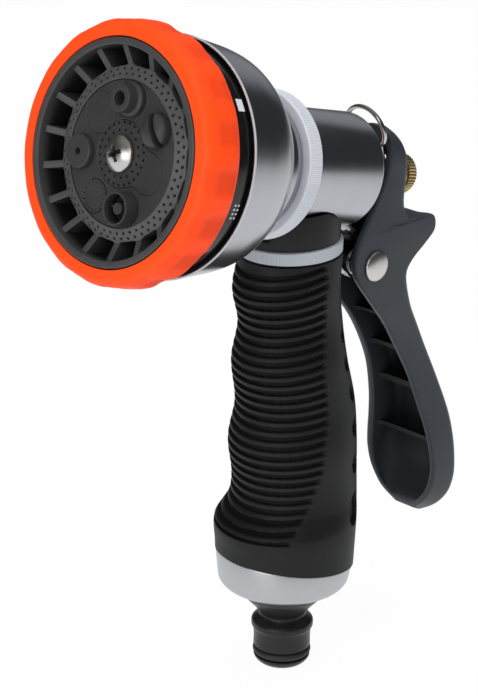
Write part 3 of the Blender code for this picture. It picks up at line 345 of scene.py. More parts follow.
class Sheet:
    """The node tree of one material or world, with one method that adds any node."""

    def __init__(self, owner: bpy.types.Material | bpy.types.World) -> None:
        """Clear the owner's tree and hold it."""
        owner.use_nodes = True
        self.tree = owner.node_tree
        self.tree.nodes.clear()

    def node(self, kind: str, settings: dict[str, Any] | None = None,
             inputs: dict[str | int, Any] | None = None) -> bpy.types.Node:
        """Add a node.

        Args:
            kind: the node's type.
            settings: attributes, set before the sockets.
            inputs: values, Signals or sockets by socket name or number.

        Returns:
            The node.
        """
        made = self.tree.nodes.new(kind)
        for key, value in (settings or {}).items():
            setattr(made, key, value)
        for key, value in (inputs or {}).items():
            if isinstance(value, Signal):
                value = value.socket
            if isinstance(value, bpy.types.NodeSocket):
                self.tree.links.new(value, made.inputs[key])
            else:
                made.inputs[key].default_value = value
        return made

    def place(self, axes: Axes, stretch: Triple = (1.0, 1.0, 1.0)) -> bpy.types.NodeSocket:
        """Return Object coordinates in a frame.

        Args:
            axes: the frame they are turned and moved into.
            stretch: a factor for each of its three axes.

        Returns:
            The socket of the coordinates.
        """
        source = self.node("ShaderNodeTexCoord").outputs["Object"]
        shift = -(axes.rows() @ np.asarray(axes.origin)) * MM
        turn = self.node("ShaderNodeMapping", None, {"Vector": source, "Location": tuple(shift),
                                                     "Rotation": (-axes.tilt, 0.0, 0.0)})
        scaled = self.node("ShaderNodeVectorMath", {"operation": "MULTIPLY"},
                           {0: turn.outputs[0], 1: stretch})
        return scaled.outputs[0]

    def noise(self, place: bpy.types.NodeSocket, size: float, detail: float = 2.0) -> Signal:
        """Return a noise of 0 to 1 whose features are about size millimetres across."""
        node = self.node("ShaderNodeTexNoise", None, {"Vector": place, "Scale": 1.0 / (size * MM),
                                                      "Detail": detail})
        return Signal(self, node.outputs[0])

    def blend(self, factor: Any, low: Any, high: Any) -> bpy.types.NodeSocket:
        """Mix two colours.

        Args:
            factor: share of the second colour, a Signal or a socket.
            low: the first colour, a Colour or a socket.
            high: the second colour, a Colour or a socket.

        Returns:
            The socket of the mixed colour.
        """
        low, high = (tone if isinstance(tone, bpy.types.NodeSocket) else (*tone, 1.0) for tone in (low, high))
        node = self.node("ShaderNodeMix", {"data_type": "RGBA"}, {"Factor": factor, 6: low, 7: high})
        return node.outputs[2]


class Grain(Enum):
    """What the surface of a finish is like from close by."""

    SATIN = "satin plating"
    POLISHED = "polished metal"
    MOULDED = "moulded plastic"
    GLOSS = "glossy plastic"
    RUBBER = "soft rubber"
    TURNED = "turned metal"


GRAIN_STRETCH: dict[Grain, Triple] = {Grain.SATIN: (1.0, 1.0, 0.25), Grain.TURNED: (0.12, 0.12, 3.0)}


@dataclass(frozen=True)
class Finish:
    """A finish: its colour and gloss, the grain that breaks it up and its record slot."""

    name: str
    slot: str
    colour: Colour
    roughness: float
    metallic: float = 0.0
    grain: Grain = Grain.MOULDED
    grain_size: float = 0.5         # millimetres across
    grain_depth: float = 0.01       # millimetres deep
    mottle: float = 0.12            # share by which the colour wanders
    patch: float = 9.0              # millimetres across a patch of that
    specular: float = 0.5
    axes: Axes = GRIP
    painted_shade_tone: float = 1.0         # painted shade: what is left of the colour in the depth of a recess

    def dress(self) -> bpy.types.Material:
        """Build the material.

        Two noises run over the surface in the finish's frame.  The wide one wanders between a darker
        and a lighter tone and moves the roughness, and the fine one is the grain: it shades the
        colour a little, and its height makes the bump.  Where the surface's recess mark is high, the
        colour darkens to painted_shade_tone of itself, a painted shade for the light that does not
        reach into the recess, and the gloss goes.

        Returns:
            The material.
        """
        made = bpy.data.materials.new(self.name)
        sheet = Sheet(made)
        stretch = GRAIN_STRETCH.get(self.grain, (1.0, 1.0, 1.0))
        place = sheet.place(self.axes)
        wide = sheet.noise(place, self.patch, 3.0)
        fine = sheet.noise(sheet.place(self.axes, stretch), self.grain_size, 3.0)
        low = tuple(c * (1.0 - self.mottle) for c in self.colour)
        high = tuple(min(1.0, c * (1.0 + self.mottle)) for c in self.colour)
        tone = (wide * 0.7 + fine * 0.3).ramp(0.3, 0.7)
        rough = self.roughness * (0.88 + 0.16 * wide) + (fine - 0.5) * (0.16 * self.roughness)
        if self.grain is Grain.RUBBER:
            rough = rough + (1.0 - fine.ramp(0.35, 0.6)) * 0.05
        bump = sheet.node("ShaderNodeBump", None, {"Strength": 1.0, "Distance": self.grain_depth * MM,
                                                   "Height": fine})
        colour = sheet.blend(tone, low, high)
        # painted shade: the recess mark darkens the colour in hollows, grooves and holes
        if self.painted_shade_tone < 1.0:
            mark = sheet.node("ShaderNodeAttribute", {"attribute_name": "recess"})
            depth = Signal(sheet, mark.outputs["Fac"])
            deep = tuple(c * self.painted_shade_tone for c in self.colour)
            colour = sheet.blend(depth, colour, deep)
            rough = rough + depth * (0.7 - self.roughness)
        shader = sheet.node("ShaderNodeBsdfPrincipled", None, {
            "Base Color": colour, "Metallic": self.metallic, "Roughness": rough,
            "Specular IOR Level": self.specular, "Normal": bump.outputs[0]})
        sheet.node("ShaderNodeOutputMaterial", None, {"Surface": shader.outputs[0]})
        return made


CHROME = Finish("satin_chrome_plate", "satin_chrome", (0.48, 0.485, 0.5), 0.24, 1.0, Grain.SATIN, 0.35,
                0.0012, 0.03, 14.0, axes=BARREL, painted_shade_tone=0.06)
CAP_CHROME = Finish("satin_chrome_cap", "ferrule_chrome", (0.5, 0.505, 0.515), 0.36, 1.0, Grain.SATIN, 0.35,
                    0.0015, 0.03, 14.0)
# painted highlight: a paler, less metallic copy of the chrome, for the bright line on the bell's lip
LIP_HIGHLIGHT = Finish("painted_highlight_edge", "satin_chrome", (0.5, 0.52, 0.55), 0.3, 0.25, Grain.SATIN, 0.35, 0.001, 0.04,
              14.0, axes=BARREL)
RIVET = Finish("bright_steel", "steel", (0.68, 0.66, 0.63), 0.33, 1.0, Grain.POLISHED, 0.6, 0.0015, 0.03,
               4.0, painted_shade_tone=0.08)
WIRE = Finish("spring_wire", "steel", (0.6, 0.58, 0.53), 0.2, 1.0, Grain.POLISHED, 0.5, 0.0015, 0.05, 4.0)
BRASS = Finish("turned_brass", "brass", (0.75, 0.56, 0.25), 0.3, 1.0, Grain.TURNED, 0.3, 0.006, 0.12, 3.0,
               axes=BARREL, painted_shade_tone=0.6)
WHITE = Finish("cool_white_trim", "white_trim", (0.67, 0.7, 0.76), 0.42, 0.0, Grain.MOULDED, 0.5, 0.006, 0.03,
               8.0, painted_shade_tone=0.75)
# painted shade: a darker copy of the white trim, for the grip ring that lies in the bell's shadow
SHADED_WHITE = Finish("painted_shade_white_trim", "white_trim", (0.42, 0.45, 0.49), 0.42, 0.0, Grain.MOULDED, 0.5,
                      0.006, 0.03, 8.0, painted_shade_tone=0.7)
DIAL_BLACK = Finish("dial_black", "dial_black", (0.033, 0.033, 0.034), 0.42, 0.0, Grain.MOULDED, 0.35, 0.012,
                    0.12, 7.0, 0.4, BARREL, 0.06)
RING_GREY = Finish("rim_charcoal", "dial_black", (0.046, 0.046, 0.047), 0.45, 0.0, Grain.MOULDED, 0.35, 0.012,
                   0.1, 7.0, 0.4, BARREL, 0.1)
# painted light: a lighter copy of the face's black plastic, for the light the ring of pin holes catches
PIN_RING_LIT = Finish("pin_ring_painted_light", "dial_black", (0.07, 0.07, 0.071), 0.36, 0.0, Grain.MOULDED, 0.35,
                       0.012, 0.1, 7.0, 0.5, BARREL, 0.04)
BAND_BLACK = Finish("band_black", "dial_black", (0.006, 0.006, 0.0065), 0.14, 0.0, Grain.GLOSS, 0.8, 0.002,
                    0.2, 7.0, axes=BARREL)
MARK_WHITE = Finish("mark_white", "dial_black", (0.62, 0.65, 0.7), 0.4, 0.0, Grain.MOULDED, 0.4, 0.004,
                    0.03, 4.0, axes=BARREL)
ORANGE = Finish("soft_orange", "orange_rubber", (1.0, 0.062, 0.003), 0.5, 0.0, Grain.RUBBER, 0.4, 0.012,
                0.05, 10.0, 0.25, BARREL, 0.8)
GRIP_RUBBER = Finish("grip_rubber", "grip_rubber", (0.0065, 0.0065, 0.0065), 0.55, 0.0, Grain.RUBBER, 0.45,
                     0.02, 0.12, 8.0, 0.3, painted_shade_tone=0.12)
COLLAR_BLACK = Finish("collar_black", "dial_black", (0.009, 0.009, 0.009), 0.5, 0.0, Grain.MOULDED, 0.4,
                      0.015, 0.12, 8.0, 0.3)
TAIL_BLACK = Finish("tail_black", "connector_black", (0.009, 0.009, 0.0095), 0.38, 0.0, Grain.MOULDED, 0.45,
                    0.012, 0.12, 7.0, 0.35, painted_shade_tone=0.3)
LEVER_GREY = Finish("lever_grey", "trigger_grey", (0.0265, 0.031, 0.0375), 0.42, 0.0, Grain.MOULDED, 0.4,
                    0.012, 0.06, 9.0, 0.35, painted_shade_tone=0.35)
ACETAL = Finish("natural_acetal", "natural_acetal", (0.75, 0.74, 0.68), 0.4, 0.0, Grain.MOULDED, 0.5, 0.01)
SEAL = Finish("seal_rubber", "seal_rubber", (0.012, 0.012, 0.012), 0.6, 0.0, Grain.RUBBER, 0.5, 0.01)


# ================================================================ pieces
@dataclass
class Workshop:
    """Turns surfaces into pieces that ride on a body, and keeps the materials."""

    materials: dict[str, bpy.types.Material] = field(default_factory=dict)

    def material(self, finish: Finish) -> bpy.types.Material:
        """Return a finish's material, built once."""
        if finish.name not in self.materials:
            self.materials[finish.name] = finish.dress()
        return self.materials[finish.name]

    def mesh(self, name: str, surface: Surface, axes: Axes, crease: float) -> bpy.types.Mesh:
        """Make a clean mesh from a surface: doubles merged and faces outward.

        Args:
            name: the mesh's name.
            surface: the surface, in the frame given.
            axes: the frame of the surface.
            crease: edges sharper than this many degrees stay crisp.

        Returns:
            The mesh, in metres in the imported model's frame.
        """
        points = axes.place(surface.points) * MM
        made = bpy.data.meshes.new(name)
        count = len(surface.quads)
        made.vertices.add(len(points))
        made.vertices.foreach_set("co", points.astype(np.float32).ravel())
        made.loops.add(4 * count)
        made.loops.foreach_set("vertex_index", surface.quads.astype(np.int32).ravel())
        made.polygons.add(count)
        made.polygons.foreach_set("loop_start", np.arange(0, 4 * count, 4, dtype=np.int32))
        made.update(calc_edges=True)
        mark = made.attributes.new("recess", "FLOAT", "POINT")
        mark.data.foreach_set("value", surface.recess.astype(np.float32))
        shape = bmesh.new()
        shape.from_mesh(made)
        bmesh.ops.remove_doubles(shape, verts=shape.verts, dist=0.002 * MM)
        bmesh.ops.dissolve_degenerate(shape, edges=shape.edges, dist=0.0005 * MM)
        bmesh.ops.recalc_face_normals(shape, faces=shape.faces)
        shape.to_mesh(made)
        shape.free()
        made.validate()
        made.shade_smooth()
        made.set_sharp_from_angle(angle=math.radians(crease))
        return made

    def piece(self, name: str, surface: Surface, finish: Finish, body: str, axes: Axes = BARREL,
              nodes: Sequence[str] = (), crease: float = CREASE) -> bpy.types.Object:
        """Make a piece.

        Args:
            name: the piece's name.
            surface: its surface, in the frame given.
            finish: its finish, which also names its record slot.
            body: the body it rides on.
            axes: the frame of the surface.
            nodes: the CAD nodes that it stands for.
            crease: edges sharper than this many degrees stay crisp.

        Returns:
            The object, at the origin with its place in its mesh.
        """
        made = bpy.data.objects.new(name, self.mesh(name, surface, axes, crease))
        made.data.materials.append(self.material(finish))
        bpy.context.scene.collection.objects.link(made)
        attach(made, body)
        if nodes:
            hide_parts(*nodes)
        LOG.info("%s: %d faces on %s", name, len(made.data.polygons), body)
        return made

    def carve(self, piece: bpy.types.Object, cutters: Surface, axes: Axes) -> None:
        """Cut a closed surface out of a piece and keep the result as the piece's mesh.

        Args:
            piece: the piece.
            cutters: what is taken off, in the frame given.
            axes: the frame of the cutters.
        """
        tool = bpy.data.objects.new("cutter", self.mesh("cutter", cutters, axes, CREASE))
        bpy.context.scene.collection.objects.link(tool)
        step = piece.modifiers.new("cut", "BOOLEAN")
        step.operation, step.solver, step.object = "DIFFERENCE", "EXACT", tool
        state = bpy.context.evaluated_depsgraph_get()
        result = bpy.data.meshes.new_from_object(piece.evaluated_get(state))
        piece.modifiers.clear()
        piece.data = result
        bpy.data.objects.remove(tool, do_unlink=True)
        result.shade_smooth()
        result.set_sharp_from_angle(angle=math.radians(CREASE))


# ================================================================ barrel, bell and rings
@dataclass
class Housing:
    """Barrel casting, grip tube, bell and the white neck ring."""

    shop: Workshop
    barrel_r: float = 15.7
    barrel_rear: float = -19.7
    barrel_front: float = 9.7
    spigot_r: float = 12.0
    spigot_bore_r: float = 9.5
    spigot_run: float = 14.3
    shoulder: float = 3.6           # from the barrel's front to the step of its bore
    rear_wall: float = 4.2
    chamber_r: float = 8.6
    gland_r: float = 6.6
    handle_r: float = 11.6
    handle_bore_r: float = 8.0
    tube_span: tuple[float, float] = (21.4, 128.0)
    pivot_back: float = 32.1
    pivot_drop: float = 24.7
    lug_half: float = 1.7
    lug_r: float = 5.2
    root_flare: float = 4.6
    root_reach: float = 4.0
    boss_half: float = 2.3
    neck_r: float = 19.9
    neck_rear: float = 10.0
    neck_width: float = 5.0
    bell_rear: float = 15.3
    bell_lip: float = 48.0
    bell_profile: tuple[tuple[float, float], ...] = (
        (17.4, 15.3), (17.9, 17.6), (17.7, 20.0), (18.6, 22.6), (21.4, 24.0), (23.9, 26.0),
        (25.7, 28.0), (28.1, 32.0), (29.4, 36.5), (30.3, 42.0), (31.2, 48.0))
    bell_hollow: tuple[tuple[float, float], ...] = (
        (29.2, 44.0), (27.7, 43.0), (27.7, 37.7), (24.3, 31.7), (12.3, 31.7))
    bell_bore_r: float = 12.3
    ridge_pitch: float = 0.55       # fine knurl on the white rings
    ridge_depth: float = 0.16

    def build(self) -> None:
        """Make the casting, the bell and the neck ring."""
        self.casting()
        self.bell()
        self.neck_ring()

    def casting(self) -> None:
        """Barrel shell, grip tube, pivot lug with its flared root, and the boss round the pin."""
        rear, front = self.barrel_rear, self.barrel_front
        nose, step, wall = front + self.spigot_run, front + self.shoulder, rear + self.rear_wall
        shell = turned(softened((
            (self.gland_r, rear, 0.3), (self.barrel_r, rear, 1.1), (self.barrel_r, front, 0.2),
            (self.spigot_r, front), (self.spigot_r, nose, 0.4), (self.spigot_bore_r, nose),
            (self.spigot_bore_r, step), (self.chamber_r, step), (self.chamber_r, wall),
            (self.gland_r, wall))), 144)
        self.shop.piece("barrel_casting", shell + self.lug(), CHROME, "nozzle", BARREL, ["body_casting"])
        foot, top = self.tube_span
        tube = turned(softened(((self.handle_bore_r, foot), (self.handle_r, foot, 0.4), (self.handle_r, top),
                                (self.handle_bore_r, top))), 96)
        self.shop.piece("grip_tube", tube, CHROME, "nozzle", GRIP)

    def lug(self) -> Surface:
        """Return the lug: an outline in the middle plane, thickened sideways.

        The half thickness is lug_half, plus a flare that falls as (1 - d/reach)^2 with the depth d
        under the barrel, so that the root runs into the barrel as a cast fillet.

        Returns:
            The lug and the round boss about the pin, in the barrel's frame.
        """
        turn = np.radians(np.linspace(60.0, -130.0, 25))
        nose = np.column_stack([self.pivot_back + self.lug_r * np.cos(turn),
                                -self.pivot_drop + self.lug_r * np.sin(turn)])
        under = -self.barrel_r + 2.5
        ring_top = -(AXIS_HEIGHT - RING_FOOT - 0.4) * math.cos(BARREL_TILT)
        top = np.array([(4.0, under), (-self.barrel_rear - 0.2, under)])
        hooked = np.array([(-self.barrel_rear + 1.6, ring_top + 3.6),
                           (-self.barrel_rear - 3.4, ring_top + 2.4)])
        corners = np.concatenate([top, nose, hooked])
        ends = np.roll(corners, -1, axis=0)
        t = np.linspace(0.0, 1.0, 12, endpoint=False)[None, :, None]
        outline = ((1 - t) * corners[:, None] + t * ends[:, None]).reshape(-1, 2)
        middle = np.array([0.5 * (4.0 - self.barrel_rear), 0.5 * (under + ring_top)])
        share = np.linspace(1.0, 0.0, 9)[:, None, None]
        grid = middle + share * (outline - middle)
        depth = np.clip(-self.barrel_r - grid[..., 1], 0.0, self.root_reach)
        half = self.lug_half + self.root_flare * (1.0 - depth / self.root_reach) ** 2
        half = half - 0.5 * (1.0 - ease(1.0 - share[..., 0], 0.0, 0.12)) ** 2
        sides = [np.stack([k * half, grid[..., 1], -grid[..., 0]], axis=-1) for k in (1.0, -1.0)]
        whole = np.concatenate([sides[0][::-1], sides[1]])
        out, boss_r = self.boss_half, 0.82 * self.lug_r
        drum = ((0.0, -out), (boss_r, -out, 0.5), (boss_r, out, 0.5), (0.0, out))
        boss = turned(softened(drum, closed=False), 64, closed=False)
        return weave(whole) + boss.laid().shifted(0.0, -self.pivot_drop, -self.pivot_back)

    def bell(self) -> None:
        """Flared shell: a Catmull-Rom curve outside, steps inside that darken as painted shade, and a bead on
        the lip in a paler, less metallic finish that paints its highlight.
        """
        rows = np.linspace(0.0, len(self.bell_profile) - 1.0, 90)
        outer = catmull(self.bell_profile, rows)
        lip, lip_r = self.bell_lip, outer[-1, 0]
        inner = softened(((lip_r - 0.15, lip - 0.2), (lip_r - 0.5, lip), (lip_r - 1.3, lip, 0.3),
                          (self.bell_hollow[0][0], lip - 1.0), *self.bell_hollow,
                          (self.bell_bore_r, self.bell_rear, 0.2), (17.2, self.bell_rear, 0.1)), closed=False)
        outer[-1] = (lip_r, lip - 0.5)
        # painted shade: the whole inside of the bell is marked as recess, so the chrome darkens there
        hollow = np.repeat([0.0, 1.0], [len(outer), len(inner)])
        profile = np.column_stack([np.concatenate([outer, inner]), hollow])
        self.shop.piece("bell", turned(profile, 192), CHROME, "nozzle", BARREL,
                        ["bell_housing"], 30.0)
        # painted highlight: the bead on the lip takes the paler edge finish
        around = circle(12)
        bead = np.column_stack([lip_r - 0.22 + 0.3 * np.cos(around), lip - 0.3 + 0.36 * np.sin(around)])
        self.shop.piece("bell_edge", turned(bead, 192), LIP_HIGHLIGHT, "nozzle", BARREL)

    def ridges(self, profile: Array, angle: Array, outer: float, low: float, high: float) -> Array:
        """Return the knurl's depth: 0.5 + 0.5 cos(n a) on the outer face, fading out at both edges.

        Args:
            profile: the ring's profile points.
            angle: angles round the ring.
            outer: the ring's outer radius.
            low: height of its rear edge.
            high: height of its front edge.

        Returns:
            The depth in millimetres at each (profile row, angle).
        """
        count = round(2.0 * math.pi * outer / self.ridge_pitch)
        on_face = (ease(profile[:, 0], outer - 0.5, outer - 0.1) * ease(profile[:, 1], low, low + 0.5)
                   * (1.0 - ease(profile[:, 1], high - 0.5, high)))
        return self.ridge_depth * on_face[:, None] * (0.5 + 0.5 * np.cos(count * angle))[None, :]

    def neck_ring(self) -> None:
        """White ring between barrel and bell, finely knurled round its outside."""
        low, high, outer = self.neck_rear, self.neck_rear + self.neck_width, self.neck_r
        corners = [(self.bell_bore_r, low), (outer, low, 0.8), (outer, high, 0.8), (self.bell_bore_r, high)]
        profile = softened(corners, 7)
        face = np.column_stack([np.full(5, outer), np.linspace(low + 0.9, high - 0.9, 5)])
        split = int(np.argmax(profile[:, 1] > 0.5 * (low + high)))
        profile = np.concatenate([profile[:split], face, profile[split:]])
        ring = turned(profile, 4 * round(2.0 * math.pi * outer / self.ridge_pitch),
                      lambda rows, angle: self.ridges(rows, angle, outer, low, high))
        self.shop.piece("neck_trim_ring", ring, WHITE, "nozzle", BARREL, ["neck_ring"])


# ================================================================ grip
@dataclass
class Grip:
    """Trim ring, collar, ribbed sleeve, end cap and hose tail."""

    shop: Workshop
    tube_r: float = 11.9
    ring_foot: float = RING_FOOT
    ring_height: float = 3.5
    ring_half: tuple[float, float] = (13.4, 14.9)
    collar_inset: float = 0.7
    collar_top: float = 134.2
    on_barrel_r: float = 16.05      # the collar lies on the barrel with a small gap
    on_ring_r: float = 20.55        # and so on the neck ring
    slot_half: float = 2.0
    sleeve_foot: float = 32.6
    border_slope: float = 0.165
    sections: tuple[tuple[float, float, float, float], ...] = (
        (122.5, 14.2, 0.0, 0.7), (113.0, 14.7, -1.3, 0.7), (103.0, 14.3, 0.4, 0.7),
        (92.0, 15.9, 0.4, 0.6), (79.0, 16.6, 3.0, 0.5), (68.0, 17.9, 2.4, 0.4),
        (57.0, 17.5, 3.4, 0.3), (50.5, 18.0, 3.0, 0.3), (44.5, 19.9, 0.4, 0.4),
        (35.0, 19.6, 0.2, 0.2), (28.0, 19.3, 0.2, 0.0))
    rib_top: float = 120.6
    rib_pitch: float = 2.7
    rib_depth: float = 1.0
    rib_count: int = 29
    rib_rise: float = 0.15          # how the grooves climb towards the back
    rib_ends: tuple[tuple[float, float], ...] = (           # height, degrees from the front
        (44.0, 50.0), (48.0, 54.0), (53.6, 62.0), (61.9, 74.0), (75.0, 80.0), (93.0, 87.0), (105.0, 93.0),
        (114.8, 97.0), (120.5, 89.0))
    dimples: tuple[tuple[float, float, float], ...] = (     # height, radius, degrees from the side
        (99.3, 2.4, 38.0), (91.1, 2.6, 37.0), (82.2, 2.9, 36.0), (72.4, 3.2, 35.0), (61.6, 3.4, 34.0),
        (48.7, 4.6, 31.0))
    ferrule_foot: float = 23.9
    ferrule_r: float = 19.1
    ferrule_lip_r: float = 9.4
    ferrule_run: float = 5.2
    ferrule_rise: float = 3.4
    tail_profile: tuple[tuple[float, float, float], ...] = (        # radius, height, ease
        (4.6, -0.5, 0.3), (6.4, -0.5, 0.8), (7.8, 0.9, 0.9), (8.05, 1.9, 0.2), (6.6, 1.9, 0.2),
        (6.6, 4.7, 0.2), (8.1, 4.7, 0.4), (8.0, 8.0, 1.5), (8.3, 10.3, 0.4), (8.8, 10.9, 0.5),
        (8.8, 12.7, 0.7), (6.5, 14.2, 0.7), (6.5, 15.2, 0.6), (8.7, 17.9, 0.6), (11.5, 20.9, 0.6))
    tail_bore_r: float = 4.6
    tail_neck_r: float = 7.7
    tail_top: float = 31.1

    def build(self) -> None:
        """Make all the pieces of the grip."""
        self.trim_ring()
        self.collar()
        self.sleeve()
        self.ferrule()
        self.tail()

    def split_angles(self, count: int) -> Array:
        """Return angles round the grip from one side of the rear slot to the other."""
        half = math.asin(self.slot_half / self.ring_half[1])
        return 0.5 * math.pi + np.linspace(half, 2.0 * math.pi - half, count)

    def split_ring(self, angle: Array, outline: Array, recess: Array) -> Surface:
        """Carry a closed cross-section along the split ring.

        Args:
            angle: station angles.
            outline: for each station, points of (share, height), where share runs from 0 on the grip
                tube to 1 on the ring's outer ellipse.
            recess: how deep in a recess each point lies.

        Returns:
            The ring with both ends closed.
        """
        a, b = self.ring_half
        outer = np.column_stack([a * np.cos(angle), b * np.sin(angle)])
        inner = self.tube_r * np.column_stack([np.cos(angle), np.sin(angle)])
        flat = inner[:, None] + outline[..., :1] * (outer - inner)[:, None]
        return weave(marked(np.concatenate([flat, outline[..., 1:]], axis=-1), recess))

    def trim_ring(self) -> None:
        """White ring on top of the sleeve, finely knurled round its outside."""
        low, high = self.ring_foot, self.ring_foot + self.ring_height
        ridges = 160
        angle = self.split_angles(4 * ridges + 1)
        outline = softened(((0.0, low), (1.0, low, 0.35), (1.0, high, 0.35), (0.0, high)), 6)
        outline = np.repeat(outline[None], len(angle), axis=0)
        wave = 0.5 + 0.5 * np.cos(ridges * (angle - angle[0]))
        face = ease(outline[..., 0], 0.8, 1.0) * ease(outline[..., 1], low + 0.1, low + 0.5)
        face = face * (1.0 - ease(outline[..., 1], high - 0.5, high - 0.1))
        outline[..., 0] -= 0.075 * face * wave[:, None]
        # painted shade: the knurl's grooves are marked as recess and darken, and the ring wears the darker
        # copy of the white trim
        self.shop.piece("grip_ring", self.split_ring(angle, outline, face * wave[:, None]), SHADED_WHITE,
                        "nozzle", GRIP, ["grip_trim_ring"])

    def saddle(self, x: Array, y: Array) -> Array:
        """Return the height at which the collar meets the barrel or the neck ring.

        On a cylinder of radius R round the barrel's axis, with b the barrel's tilt,
        z = axis + (-sqrt(R^2 - x^2) - y sin b) / cos b.

        Args:
            x: places across the grip.
            y: places along it, front to back.

        Returns:
            The height at each place, with a smooth step from the barrel to the ring.
        """
        c, s = math.cos(BARREL_TILT), math.sin(BARREL_TILT)
        on_barrel = AXIS_HEIGHT + (-np.sqrt(self.on_barrel_r ** 2 - x ** 2) - y * s) / c
        on_ring = AXIS_HEIGHT + (-np.sqrt(self.on_ring_r ** 2 - x ** 2) - y * s) / c
        along = -y * c + (on_barrel - AXIS_HEIGHT) * s
        share = ease(along, 8.6, 9.6)
        return on_barrel + share * (on_ring - on_barrel)

    def collar(self) -> None:
        """Black collar between the ring and the barrel, cut to the barrel's curve.

        Its cross-section runs through the steps (share from the tube to the outer ellipse, share of
        the height).
        """
        low = self.ring_foot + self.ring_height + GAP
        angle = self.split_angles(181)
        a, b = self.ring_half[0] - self.collar_inset, self.ring_half[1] - self.collar_inset
        outer = np.column_stack([a * np.cos(angle), b * np.sin(angle)])
        inner = self.tube_r * np.column_stack([np.cos(angle), np.sin(angle)])
        steps = np.array([(0.0, 0.0), (0.9, 0.0), (1.0, 0.06), (1.0, 0.5), (1.0, 0.9), (0.93, 0.975),
                          (0.8, 1.0), (0.0, 1.0)])
        flat = inner[:, None] + steps[None, :, :1] * (outer - inner)[:, None]
        level = self.collar_top + 8.0 * (1.0 - steps[None, :, 0])
        top = np.clip(self.saddle(flat[..., 0], flat[..., 1]), low + 0.3, level)
        height = low + steps[None, :, 1] * (top - low)
        grid = np.concatenate([flat, height[..., None]], axis=-1)
        self.shop.piece("black_collar", weave(grid), COLLAR_BLACK, "nozzle", GRIP, ["handle_collar"])

    def section_at(self, height: Array) -> tuple[Array, Array, Array]:
        """Read the sleeve's outline at heights.

        A row of the sections is (height, radius, shift, deeper): the half width is radius - deeper
        and the half depth is radius + deeper.

        Args:
            height: heights on the grip.

        Returns:
            The half width, half depth and shift at each height.
        """
        falling = [-row[0] for row in self.sections]
        position = np.interp(-height, falling, range(len(falling)))
        radius, shift, deeper = catmull(self.sections, position).T[1:]
        return radius - deeper, radius + deeper, shift

    def rib_end(self, height: Array) -> Array:
        """Return how far round from the front the grooves reach, in degrees."""
        heights, degrees = zip(*self.rib_ends)
        return np.interp(height, heights, degrees)

    def grooves(self, angle: Array, height: Array) -> Array:
        """Return the depth of the ribs' grooves as a share of the ribs' depth.

        Along the height a groove is a smooth step of cos(2 pi z / pitch); round the grip it climbs a
        little towards the back, runs from one rib end to the other and closes there with a smooth step.

        Args:
            angle: angles round the grip, as one row.
            height: heights on the grip, as one column.

        Returns:
            The share at each (height, angle).
        """
        height = height + self.rib_rise * (15.0 * np.cos(angle + 0.5 * math.pi) - 13.0)
        wave = -np.cos(2.0 * math.pi * (self.rib_top - height) / self.rib_pitch)
        band = ease(wave, -0.45, 0.35)
        lowest = self.rib_top - self.rib_count * self.rib_pitch
        inside = ease(height, lowest, lowest + 0.3) * (1.0 - ease(height, self.rib_top, self.rib_top + 0.3))
        off_front = np.degrees(np.abs(np.angle(np.exp(1j * (angle + 0.5 * math.pi)))))
        reach = 1.0 - ease(off_front, self.rib_end(height) - 2.5, self.rib_end(height))
        return band * inside * reach

    def sleeve(self) -> None:
        """Rubber sleeve: finger waves, ribs round the front, a smooth spine with dimples down its sides."""
        angle = circle(200)[None, :]
        height = np.linspace(self.sections[0][0] - 0.25, self.sleeve_foot + 2.6, 480)[:, None]
        wide, deep, shift = (part[:, None] for part in self.section_at(height[:, 0]))
        recess = self.grooves(angle, height)
        for centre, radius, turn in self.dimples:
            for side in (turn, 180.0 - turn):
                run = np.angle(np.exp(1j * (angle - math.radians(side)))) * wide
                off = np.sqrt(run ** 2 + (height - centre) ** 2)
                recess = recess + 1.3 * (1.0 - ease(off, radius - 0.6, radius))
        wide, deep = wide - self.rib_depth * recess, deep - self.rib_depth * recess
        x, y = wide * np.cos(angle), shift + deep * np.sin(angle)
        slant = np.clip((self.sleeve_foot + 14.0 - height) / 11.4, 0.0, 1.0)
        z = height - self.border_slope * y * slant
        # painted shade: the grooves and dimples are marked as recess, so the rubber darkens in them
        body = marked(np.stack([x, y, z], axis=-1), np.minimum(recess, 1.0))
        rim = self.level_ring(self.sleeve_foot, angle[0], 0.0)
        rim[:, 2] = self.sleeve_foot - self.border_slope * rim[:, 1] + GAP * 0.4
        top = self.level_ring(self.sections[0][0], angle[0], 0.9)
        inner_top = ring_points(self.tube_r, angle[0], self.sections[0][0])
        inner_foot = inner_top.copy()
        inner_foot[:, 2] = self.sleeve_foot - self.border_slope * inner_foot[:, 1] + GAP * 0.4
        ends = [marked(ring)[None] for ring in (inner_top, top, rim, inner_foot)]
        grid = np.concatenate([*ends[:2], body, *ends[2:]])
        self.shop.piece("ribbed_sleeve", weave(grid, along=True), GRIP_RUBBER, "nozzle", GRIP,
                        ["grip_sleeve"], 55.0)

    def level_ring(self, height: float, angle: Array, inset: float) -> Array:
        """Make a level ring of the sleeve's outline.

        Args:
            height: its height on the grip.
            angle: angles round it.
            inset: how far it is drawn in.

        Returns:
            The ring's points.
        """
        wide, deep, shift = (float(part[0]) for part in self.section_at(np.array([height])))
        return np.column_stack([(wide - inset) * np.cos(angle), shift + (deep - inset) * np.sin(angle),
                                np.full(angle.size, height)])

